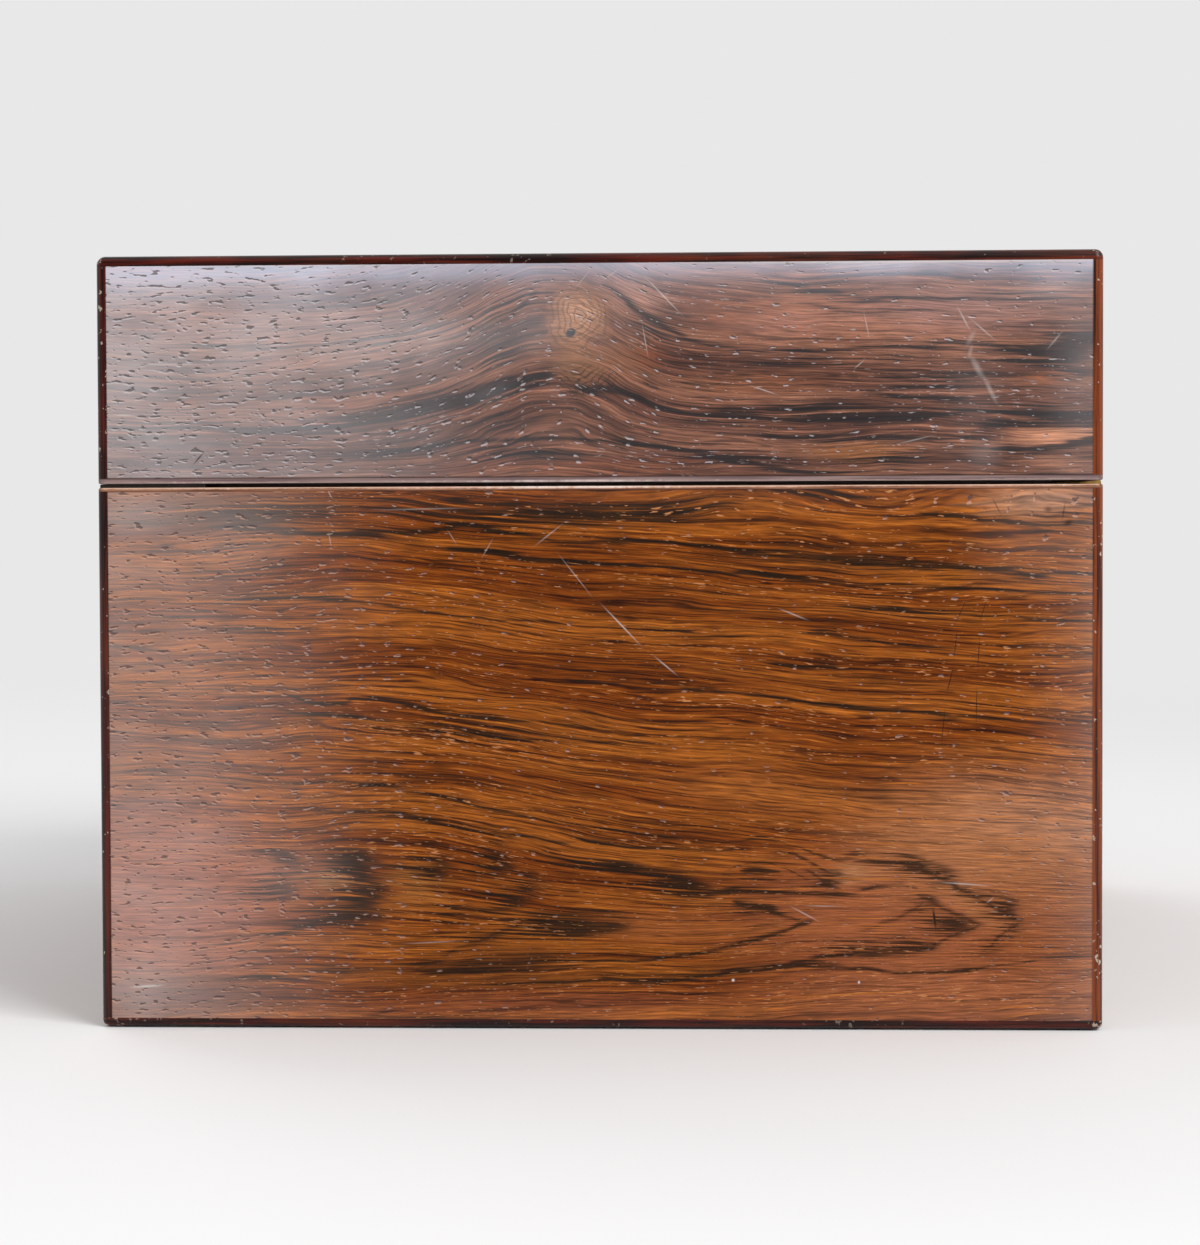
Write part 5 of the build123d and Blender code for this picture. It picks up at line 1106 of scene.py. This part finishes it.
def tray_pads(material):
    """A thin velvet pad in the floor of each open compartment of the tray."""
    low, high = node_box("tray_pads")
    bays = compartments()
    bm = bmesh.new()
    for number, (x_low, x_high, y_low, y_high) in enumerate(bays):
        half_u, half_v = (x_high - x_low) / 2 - 0.25, (y_high - y_low) / 2 - 0.25
        place = Matrix.Translation(((x_low + x_high) / 2, (y_low + y_high) / 2, low.z))
        flat_pad(bm, half_u, half_v, high.z - low.z, place, number * 3.7, cells=(32, 32))
    piece = finish_piece(bm, "velvet_tray_pads", "tray", material, ["tray_pads"])
    return piece


def compartments():
    """The tray's open compartments, (lowest x, highest x, lowest y, highest y) of each: all but the ring
    rolls'."""
    half_x, half_y = node_box("tray_pads")[1][:2]
    rolls_high = node_box("ring_rolls")[1]
    divider, clearance = 3.0, 0.4
    square_bay, square_from = 64.0, 52.0
    ring_side = rolls_high.x + clearance + divider
    back = rolls_high.y + clearance
    right = divider - ring_side
    middle = square_bay - half_y
    return [
        (ring_side, -ring_side, -half_y, back),
        (right, half_x, -half_y, middle),
        (right, half_x, middle + divider, back),
        (-half_x, square_from - divider / 2, back + divider, half_y),
        (square_from + divider / 2, half_x, back + divider, half_y),
    ]


def floor_pad(material):
    """The velvet pad that lines the bottom of the case."""
    low, high = node_box("floor_pad")
    bm = bmesh.new()
    flat_pad(bm, high.x, high.y, high.z - low.z, Matrix.Translation((0, 0, low.z)), 21.0, swell=0.4,
             cells=(64, 48))
    piece = finish_piece(bm, "velvet_floor_pad", "case", material, ["floor_pad"])
    return piece


def mirror_border(material):
    """The padded velvet border round the mirror: four stuffed strips, mitred at the corners, pulled in
    along the mitres and tucked under the frame."""
    low, high = node_box("mirror_pad")
    frame_high = node_box("mirror_slip")[1]
    back, face = high.z, low.z
    bm = bmesh.new()
    for side in range(4):
        strip = bmesh.new()
        bmesh.ops.create_grid(strip, x_segments=64, y_segments=14, size=1)
        long_side = side % 2 == 0
        sign = 1 if side < 2 else -1
        for vert in strip.verts:
            across = (sin(vert.co.y * pi / 2) + 1) / 2
            along = sin(vert.co.x * pi / 2)
            half_x = frame_high.x + across * (high.x - frame_high.x)
            half_y = frame_high.y + across * (high.y - frame_high.y)
            x, y = (along * half_x, sign * half_y) if long_side else (sign * half_x, along * half_y)
            swell = 1 - abs(2 * across - 1) ** 2.6
            mitre = (1 - abs(along)) * (half_x if long_side else half_y)
            pucker = 0.12 * sin(mitre * 1.5) * max(0.0, 1 - mitre / 14)
            pull = 1.3 * max(0.0, 1 - mitre / 7) ** 1.6
            uneven = 0.35 * noise.noise(Vector((x / 16, y / 16, 3.3)))
            depth = 0.8 + (back - face - 0.95) * max(0.0, swell) ** 0.62 * (1 + 0.1 * (uneven - 0.35))
            vert.co = (x, y, back - max(0.6, depth - (pull - pucker) * max(0.0, swell)))
        join_into(bm, strip)
    bmesh.ops.remove_doubles(bm, verts=bm.verts, dist=0.01)
    drop_wall(bm, back)
    bmesh.ops.bridge_loops(bm, edges=open_edges(bm))
    piece = finish_piece(bm, "velvet_mirror_border", "lid", material, ["mirror_pad"], sharp=70)
    return piece


def lid_linings(material):
    """Velvet over card on the four inner walls of the lid, below the mirror."""
    low, high = node_box("lid_side_linings")
    thick = 1.0
    half_z = (high.z - low.z) / 2
    middle = (high.z + low.z) / 2
    bm = bmesh.new()
    for side in range(4):
        half_u = (high.x if side % 2 == 0 else high.y - thick) - 0.05
        reach = high.y if side % 2 == 0 else high.x
        stand = Matrix.Rotation(radians(90), 4, "X") @ Matrix.Translation((0, 0, -reach))
        place = Matrix.Translation((0, 0, middle)) @ Matrix.Rotation(radians(90 * side), 4, "Z") @ stand
        flat_pad(bm, half_u, half_z, thick, place, side * 4.1 + 0.7, roll=0.6, swell=0.2, cells=(56, 14))
    piece = finish_piece(bm, "velvet_lid_linings", "lid", material, ["lid_side_linings"])
    return piece


# The ribbon's length below the rim, the radius and angle of its bend over it, and its tongue's droop
RIBBON_GLUED = 17.0
RIBBON_BEND = 2.6
RIBBON_TURN = radians(82)
RIBBON_DROOP = 0.012


def ribbon_point(run):
    """Where the ribbon's middle is after a run along it, (inwards from the tray's wall, up from its rim):
    straight up the wall, over in one bend, then a free tongue that droops and curls up a little at its
    end."""
    rise = RIBBON_GLUED - RIBBON_BEND
    turn = min(max(0.0, (run - rise) / RIBBON_BEND), RIBBON_TURN)
    inward, up = RIBBON_BEND * (1 - cos(turn)), RIBBON_BEND * (sin(turn) - 1)
    over = run - rise - RIBBON_BEND * RIBBON_TURN
    if run <= rise:
        up = run - RIBBON_GLUED
    elif over > 0:
        inward += over * sin(turn)
        up += over * cos(turn) - RIBBON_DROOP * over * over
    return inward, up


def ribbon_pull(side, material, width):
    """One silk ribbon for lifting the tray: glued down the inside of the tray's end, with a free tongue
    on top."""
    end, rim = node_box("tray_pulls")[1].x, node_box("tray_walls")[1].z
    thick, length, glue, above_rim = 0.45, 29.0, 0.05, 0.75
    bm = bmesh.new()
    bmesh.ops.create_grid(bm, x_segments=58, y_segments=12, size=1)
    layer = bm.loops.layers.uv.new("ribbon")
    for face in bm.faces:
        for loop in face.loops:
            loop[layer].uv = (loop.vert.co.y * width / 2, (loop.vert.co.x + 1) / 2 * length)
    for vert in bm.verts:
        across = vert.co.y * (width / 2 - 0.1)
        run = (vert.co.x + 1) / 2 * length
        inward, up = ribbon_point(run)
        free = max(0.0, run - RIBBON_GLUED - 0.5) / (length - RIBBON_GLUED - 0.5)
        cup = 0.35 * free * (across / (width / 2)) ** 2
        ripple = 0.25 * free * noise.noise(Vector((across / 5, run / 6, side * 2.0)))
        vert.co = (side * (end - thick / 2 - glue - inward), across, rim + above_rim + up + cup + ripple)
    piece = finish_piece(bm, "ribbon_pull_" + SIDES[side], "tray", material, ["tray_pulls"],
                         sharp=80)
    wall = piece.modifiers.new("ribbon thickness", "SOLIDIFY")
    wall.thickness = thick * MM
    wall.offset = 0
    return piece


def base_cloth(material):
    """Wool baize glued under the base, cut a little inside the edge with its corners rounded."""
    low, high = node_box("base_cloth")
    corner, glue, nap = 4.0, 0.04, 0.02
    bm = bmesh.new()
    bmesh.ops.create_grid(bm, x_segments=1, y_segments=1, size=1)
    bmesh.ops.scale(bm, vec=(high.x, high.y, 1), verts=bm.verts)
    bmesh.ops.translate(bm, vec=(0, 0, high.z - glue), verts=bm.verts)
    bmesh.ops.bevel(bm, geom=bm.verts[:], offset=corner, segments=8, profile=0.5, affect="VERTICES",
                    material=-1)
    close_under(bm, low.z + nap)
    piece = finish_piece(bm, "baize_base_cloth", "case", material, ["base_cloth"])
    return piece


def felt_buffer(side, material):
    """A thin felt buffer at a front corner of the case's rim, that the shut lid rests on: an L of two
    strips, 0.82 mm thick, whose upper edges the lid has pressed round."""
    inset, long, wide, thick = 0.6, 24.0, 2.6, 0.82
    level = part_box("case_rim_facings")[1][2] * PER_MM
    corner_x = BOX_HALF_X * PER_MM - inset
    corner_y = BOX_HALF_Y * PER_MM - inset
    bm = bmesh.new()
    outline = [(0, 0), (long, 0), (long, wide), (wide, wide), (wide, long), (0, long)]
    foot = bm.faces.new([bm.verts.new((side * (corner_x - x), y - corner_y, level)) for x, y in outline])
    raised = bmesh.ops.extrude_face_region(bm, geom=[foot])["geom"]
    top = [item for item in raised if isinstance(item, bmesh.types.BMVert)]
    bmesh.ops.translate(bm, vec=(0, 0, thick), verts=top)
    rim = [edge for edge in bm.edges if all(vert in top for vert in edge.verts)]
    bmesh.ops.bevel(bm, geom=rim, offset=thick / 3, segments=2, profile=0.5, affect="EDGES")
    finish_piece(bm, "felt_buffer_" + SIDES[side], "case", material, [])


# Stage, in metres and degrees. The camera is a little above the middle of the box's right-hand end, and
# turns about the upright, then up from looking straight down, then about its own axis.

CAMERA_PLACE = (0.8525, 0.0322, 0.1155)
CAMERA_TURNS = (92.583, 88.164, -0.211)
KEY_PLACE, KEY_TARGET, KEY_SIZE = (1.35, 1.15, 1.35), (0.0, 0.0, 0.06), 1.1
FILL_PLACE, FILL_TARGET, FILL_SIZE = (-1.5, -1.2, 1.2), (0.0, 0.0, 0.08), 1.2


def stage_floor(stage):
    """A pale matt floor that takes the box's soft shadow near it and fades far away into the backdrop's
    colour."""
    material = bpy.data.materials.new("pale_matt_paper")
    tree = cleared_tree(material)
    place = add(tree, "TexCoord").outputs["Object"]
    centred = add(tree, "Mapping", place, (0.1, 0.0, 0.0), vector_type="TEXTURE")
    far = add(tree, "VectorMath", centred, operation="LENGTH")
    fade = add(tree, "MapRange", far, stage.fade_start, stage.fade_end, interpolation_type="SMOOTHSTEP")
    seen = background_rays(tree)
    share = add(tree, "Math", fade, seen, operation="MULTIPLY")
    grain = add(tree, "TexNoise", Vector=place, Scale=900.0, Detail=3.0)
    bump = add(tree, "Bump", Height=grain, Strength=0.2, Distance=0.1 * MM)
    paper = add(tree, "BsdfPrincipled", Base_Color=opaque(stage.floor_colour), Roughness=0.9,
                Specular_IOR_Level=0.1, Normal=bump)
    distance = add(tree, "Emission", Color=opaque(stage.backdrop_colour), Strength=1.0)
    mixed = add(tree, "MixShader", share, paper, distance)
    add(tree, "OutputMaterial", Surface=mixed)
    bm = bmesh.new()
    bmesh.ops.create_grid(bm, x_segments=2, y_segments=2, size=stage.floor_reach)
    mesh = made_mesh(bm, "stage_floor")
    mesh.materials.append(material)
    new_object("stage_floor", mesh)


def background_rays(tree):
    """1 for the rays that should see the plain backdrop: the camera's, reflected and transmitted ones."""
    path = add(tree, "LightPath")
    seen = add(tree, "Math", path.outputs["Is Camera Ray"], path.outputs["Is Glossy Ray"],
               operation="MAXIMUM")
    return add(tree, "Math", seen, path.outputs["Is Transmission Ray"], operation="MAXIMUM")


def stage_world(stage):
    """The studio round the box: plain pale backdrop, soft light from all round, and a dim side behind the
    camera so that the polished dark wood keeps its depth."""
    world = bpy.data.worlds.new("soft_studio")
    bpy.context.scene.world = world
    tree = cleared_tree(world)
    path = add(tree, "LightPath")
    way = add(tree, "SeparateXYZ", add(tree, "TexCoord").outputs["Generated"])
    behind = add(tree, "MapRange", way.outputs["X"], 0.35, 0.8, 1.0, stage.dim_side,
                 interpolation_type="SMOOTHSTEP")
    dimmed = add(tree, "Mix", sockets={FACTOR: path.outputs["Is Glossy Ray"], 2: 1.0, 3: behind})
    backdrop = add(tree, "Background", Color=opaque(stage.backdrop_colour), Strength=dimmed)
    light = add(tree, "Background", Color=(1.0, 1.0, 1.0, 1.0), Strength=stage.sky_strength)
    mixed = add(tree, "MixShader", background_rays(tree), light, backdrop)
    add(tree, "OutputWorld", Surface=mixed)


def stage_lamp(name, place, target, size, power):
    """A square soft box that the camera doesn't see."""
    data = bpy.data.lights.new(name, "AREA")
    data.shape = "SQUARE"
    data.size = size
    data.energy = power
    lamp = new_object(name, data)
    aim = (Vector(target) - Vector(place)).to_track_quat("-Z", "Y")
    lamp.matrix_world = Matrix.Translation(place) @ aim.to_matrix().to_4x4()
    lamp.visible_camera = False


def stage_camera(stage):
    """The camera square to the box's right-hand end, a little above its middle."""
    data = bpy.data.cameras.new("camera")
    data.sensor_fit = "HORIZONTAL"
    data.sensor_width = 36.0
    data.lens = stage.lens
    data.clip_start = 0.01
    camera = new_object("camera", data)
    swing, tilt, roll = CAMERA_TURNS
    turned = Matrix.Rotation(radians(swing), 4, "Z") @ Matrix.Rotation(radians(tilt), 4, "X")
    turned = turned @ Matrix.Rotation(radians(roll), 4, "Z")
    camera.matrix_world = Matrix.Translation(CAMERA_PLACE) @ turned
    bpy.context.scene.camera = camera


# The add-on: what a user may change, an operator for each group of pieces, and the sidebar panel


def colour_property(name, description, code):
    """A colour setting whose default is an sRGB hex code."""
    return FloatVectorProperty(name=name, description=description, subtype="COLOR", size=3, min=0.0,
                               max=1.0, default=linear(code)[:3])


def share_property(name, description, default, least=0.0):
    """A setting between 0, or the least that makes sense, and 1."""
    return FloatProperty(name=name, description=description, subtype="FACTOR", default=default, min=least,
                         max=1.0)


class VanityPolish(bpy.types.PropertyGroup):
    """Polish and colours of the rosewood, the plain woods and the metals."""
    polish: share_property("Polish", "Share of clear polish left on the veneer", 0.03)
    roughness: share_property("Roughness", "Roughness of the worn veneer", 0.42, 0.05)
    edge_polish: share_property("Edge polish", "Share of clear polish left on the edge strips", 0.15)
    edge_dark: colour_property("Edge dark", "Darkest wood of the edge strips", "190605")
    edge_red: colour_property("Edge red", "Red wood of the edge strips", "55180c")
    # The lighter edge wood is also painted on the two corner strips that the key light falls on, as painted
    # light
    edge_light: colour_property("Edge light", "Lighter wood of the edge strips", "7c3814")
    brass: colour_property("Brass", "Polished parts of the brass", "c9a25c")
    brass_dull: colour_property("Brass tarnish", "Tarnished parts of the brass", "7c5a2c")


class VanityCloth(bpy.types.PropertyGroup):
    """Colours and sizes of the velvet, the ribbon and the baize."""
    velvet: colour_property("Velvet", "Colour of the velvet", "571330")
    velvet_sheen: share_property("Velvet sheen", "Share of light that the pile's tips catch", 0.35)
    ribbon: colour_property("Ribbon", "Colour of the silk ribbon", "7c1f3c")
    baize: colour_property("Baize", "Colour of the cloth under the base", "20452f")
    leather: colour_property("Leather", "Colour of the leather on the mirror's frame", "6a1f1a")
    roll_crown: FloatProperty(name="Roll crown",
                              description="Height of the round part of each ring roll, in millimetres",
                              default=7.0, min=2.0, max=12.0)
    ribbon_width: FloatProperty(name="Ribbon width",
                                description="Width of the ribbon pulls, in millimetres",
                                default=16.0, min=6.0, max=30.0)


class VanityStage(bpy.types.PropertyGroup):
    """The floor, the backdrop, the light and the camera."""
    backdrop_colour: colour_property("Backdrop", "Colour of the plain backdrop", "e8e8e8")
    floor_colour: colour_property("Floor", "Colour of the floor near the box", "f4f4f4")
    floor_reach: FloatProperty(name="Floor reach", description="Half the width of the floor", unit="LENGTH",
                               default=6.0, min=1.0)
    fade_start: FloatProperty(name="Fade start", description="Distance at which the floor starts to fade",
                              unit="LENGTH", default=0.55, min=0.1)
    fade_end: FloatProperty(name="Fade end",
                            description="Distance at which the floor is the backdrop's colour",
                            unit="LENGTH", default=1.6, min=0.2)
    sky_strength: FloatProperty(name="Sky strength", description="Strength of the light from all round",
                                default=0.6, min=0.0)
    dim_side: share_property("Dim side", "How bright the side behind the camera is in reflections", 0.2)
    key_power: FloatProperty(name="Key power", description="Power of the main soft box", unit="POWER",
                             default=30.0, min=0.0)
    fill_power: FloatProperty(name="Fill power", description="Power of the soft box behind", unit="POWER",
                              default=9.0, min=0.0)
    lens: FloatProperty(name="Lens", description="Focal length", unit="CAMERA", default=92.44, min=10.0)


def shared(name, make, *values):
    """The material of that name, made the first time that it is asked for."""
    return bpy.data.materials.get(name) or make(name, *values)


def shared_velvet():
    """The velvet of all the linings, the ring rolls and the mirror's border."""
    cloth = bpy.context.scene.vanity_cloth
    return shared("cotton_velvet", velvet, cloth.velvet, cloth)


class VANITY_OT_stage(bpy.types.Operator):
    """Sets the floor, the backdrop, the light and the camera"""
    bl_idname = "vanity.stage"
    bl_label = "Stage"

    def execute(self, context):
        stage = context.scene.vanity_stage
        context.scene.view_settings.view_transform = "Standard"
        stage_camera(stage)
        stage_floor(stage)
        stage_world(stage)
        stage_lamp("key_soft_box", KEY_PLACE, KEY_TARGET, KEY_SIZE, stage.key_power)
        stage_lamp("fill_soft_box", FILL_PLACE, FILL_TARGET, FILL_SIZE, stage.fill_power)
        return {"FINISHED"}


class VANITY_OT_veneers(bpy.types.Operator):
    """Dresses the veneered faces. The right end has a figure for the lid and one for the case, and on every
    other side the two share one"""
    bl_idname = "vanity.veneers"
    bl_label = "Rosewood veneers"

    def execute(self, context):
        polish = context.scene.vanity_polish
        wide, deep = 310.0, 232.0
        dress(rosewood("rosewood_lid_right", "Y", "Z", LID_END, polish), "lid_right_veneer")
        dress(rosewood("rosewood_case_right", "Y", "Z", CASE_END, polish), "case_right_veneer")
        left = plain_figure(2.3, deep, END_RISE, 0.0, 0.3, 9)
        dress(rosewood("rosewood_left", "Y", "Z", left, polish), "lid_left_veneer", "case_left_veneer")
        front = plain_figure(4.9, wide, END_RISE, 0.0, 0.22, 7)
        dress(rosewood("rosewood_front", "X", "Z", front, polish), "lid_front_veneer", "case_front_veneer")
        back = plain_figure(6.2, wide, END_RISE, 0.0, 0.3, 10)
        dress(rosewood("rosewood_back", "X", "Z", back, polish), "lid_back_veneer", "case_back_veneer")
        top = plain_figure(1.7, wide, deep, deep / 2, 0.34, 12)
        dress(rosewood("rosewood_top", "X", "Y", top, polish), "lid_top_veneer")
        return {"FINISHED"}


class VANITY_OT_edgings(bpy.types.Operator):
    """Dresses the edge strips and the facings at the gap"""
    bl_idname = "vanity.edgings"
    bl_label = "Rosewood edgings"

    def execute(self, context):
        polish = context.scene.vanity_polish
        dress(edging("rosewood_edging_upright", True, polish), "case_corner_beads", "lid_corner_beads")
        dress(edging("rosewood_edging_level", False, polish), "case_base_beads", "lid_top_beads")
        case_low, case_top = [corner[2] * PER_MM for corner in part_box("case_rim_facings")]
        lid_low, lid_top = [corner[2] * PER_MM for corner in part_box("lid_rim_facings")]
        # The last two colours of each are the pale rubbed arris with its painted highlight, and the nearly
        # white chips with painted glints
        case_codes = ("6c402c", "9c6c52", "cfa892", "e6d0c6")
        lid_codes = ("6a5454", "8c7470", "a08a86", "c8b6b2")
        case = rim_facing("rosewood_facing_case", case_codes, case_top, case_top - case_low)
        lid = rim_facing("rosewood_facing_lid", lid_codes, lid_low, lid_top - lid_low)
        dress(case, "case_rim_facings")
        dress(lid, "lid_rim_facings")
        return {"FINISHED"}


class VANITY_OT_woods(bpy.types.Operator):
    """Dresses the carcase, the liners and the tray"""
    bl_idname = "vanity.woods"
    bl_label = "Carcase and tray"

    def execute(self, context):
        solid = planed_wood("rosewood_solid_polished", ("7a4326", "5c2c18", "2a120c"), 2.2, 0.36, 0.25, 0.5)
        dress(solid, "case_liners", "tray_ledges", "tray_walls", "tray_dividers")
        mahogany = planed_wood("mahogany_planed", ("a2603a", "884a2a", "5a2a18"), 4.0, 0.6, 0.0, 0.6)
        walls = [part + side for part in ("case_", "lid_") for side in ("front", "back", "left", "right")]
        dress(mahogany, *[wall + "_board" for wall in walls])
        dress(mahogany, "case_bottom_board", "lid_top_board", "tray_floor")
        pine = planed_wood("pine_planed", ("d9b878", "c69c5c", "9a6c38"), 6.0, 0.7, 0.0, 0.3)
        dress(pine, "mirror_backing")
        return {"FINISHED"}


class VANITY_OT_metals(bpy.types.Operator):
    """Dresses the lock, the hinges and their screws"""
    bl_idname = "vanity.metals"
    bl_label = "Lock and hinges"

    def execute(self, context):
        polish = context.scene.vanity_polish
        brass = aged_metal("brass_aged", polish.brass, polish.brass_dull, 0.26, 0.35)
        hinges = ("left_hinge_", "right_hinge_")
        leaves = [hinge + part + "_leaf" for hinge in hinges for part in ("case", "lid")]
        dress(brass, *leaves, "hinge_pins", "case_hinge_screws", "lid_hinge_screws")
        dress(brass, "lock_case", "lock_cap", "lock_selvedge", "lock_screws", "lock_bolt", "escutcheon")
        dress(brass, "link_plate", "link_plate_screws")
        steel = aged_metal("steel_blued", linear("6a6a72")[:3], linear("3a3230")[:3], 0.3, 0.3)
        dress(steel, "lock_spring", "lock_drill_pin")
        return {"FINISHED"}


class VANITY_OT_mirror(bpy.types.Operator):
    """Dresses the mirror glass and its gilt leather frame, and pads the border round it"""
    bl_idname = "vanity.mirror"
    bl_label = "Mirror and border"

    def execute(self, context):
        dress(silvered_glass("glass_silvered"), "mirror_glass")
        dress(gilt_leather("leather_gilt_tooled", context.scene.vanity_cloth.leather), "mirror_slip")
        mirror_border(shared_velvet())
        return {"FINISHED"}


class VANITY_OT_linings(bpy.types.Operator):
    """Makes the velvet pads of the case, the tray and the lid"""
    bl_idname = "vanity.linings"
    bl_label = "Velvet linings"

    def execute(self, context):
        floor_pad(shared_velvet())
        tray_pads(shared_velvet())
        lid_linings(shared_velvet())
        return {"FINISHED"}


class VANITY_OT_ring_rolls(bpy.types.Operator):
    """Makes the ring rolls in the tray"""
    bl_idname = "vanity.ring_rolls"
    bl_label = "Ring rolls"

    def execute(self, context):
        ring_rolls(context.scene.vanity_cloth.roll_crown, shared_velvet())
        return {"FINISHED"}


class VANITY_OT_ribbon_pulls(bpy.types.Operator):
    """Makes the two ribbons that lift the tray"""
    bl_idname = "vanity.ribbon_pulls"
    bl_label = "Ribbon pulls"

    def execute(self, context):
        cloth = context.scene.vanity_cloth
        silk = silk_ribbon("silk_ribbon_ribbed", cloth.ribbon)
        for side in (-1, 1):
            ribbon_pull(side, silk, cloth.ribbon_width)
        return {"FINISHED"}


class VANITY_OT_base_cloth(bpy.types.Operator):
    """Makes the cloth under the base"""
    bl_idname = "vanity.base_cloth"
    bl_label = "Base cloth"

    def execute(self, context):
        base_cloth(baize("wool_baize", context.scene.vanity_cloth.baize))
        return {"FINISHED"}


class VANITY_OT_felt_buffers(bpy.types.Operator):
    """Makes the two felt buffers under the lid's front corners"""
    bl_idname = "vanity.felt_buffers"
    bl_label = "Felt buffers"

    def execute(self, context):
        felt = baize("wool_felt_dark", linear("1c1512")[:3])
        for side in (-1, 1):
            felt_buffer(side, felt)
        return {"FINISHED"}


class VANITY_PT_panel(bpy.types.Panel):
    """Lists the pieces and their settings in the sidebar"""
    bl_label = "Rosewood Vanity Box"
    bl_idname = "VANITY_PT_panel"
    bl_space_type = "VIEW_3D"
    bl_region_type = "UI"
    bl_category = "Vanity Box"

    def draw(self, context):
        for group in (context.scene.vanity_polish, context.scene.vanity_cloth, context.scene.vanity_stage):
            box = self.layout.box()
            for setting in group.bl_rna.properties:
                if setting.identifier not in ("rna_type", "name"):
                    box.prop(group, setting.identifier)
        for operator in OPERATORS:
            self.layout.operator(operator.bl_idname)


GROUPS = {"vanity_polish": VanityPolish, "vanity_cloth": VanityCloth, "vanity_stage": VanityStage}
OPERATORS = (VANITY_OT_stage, VANITY_OT_veneers, VANITY_OT_edgings, VANITY_OT_woods, VANITY_OT_metals,
             VANITY_OT_mirror, VANITY_OT_linings, VANITY_OT_ring_rolls, VANITY_OT_ribbon_pulls,
             VANITY_OT_base_cloth, VANITY_OT_felt_buffers)


def register():
    for made in (*GROUPS.values(), *OPERATORS, VANITY_PT_panel):
        bpy.utils.register_class(made)
    for name, group in GROUPS.items():
        setattr(bpy.types.Scene, name, PointerProperty(type=group))


def unregister():
    for name in GROUPS:
        delattr(bpy.types.Scene, name)
    for made in (VANITY_PT_panel, *reversed(OPERATORS), *reversed(GROUPS.values())):
        bpy.utils.unregister_class(made)


def main():
    register()
    for operator in OPERATORS:
        group, name = operator.bl_idname.split(".")
        getattr(getattr(bpy.ops, group), name)()


if __name__ == "__main__":
    main()
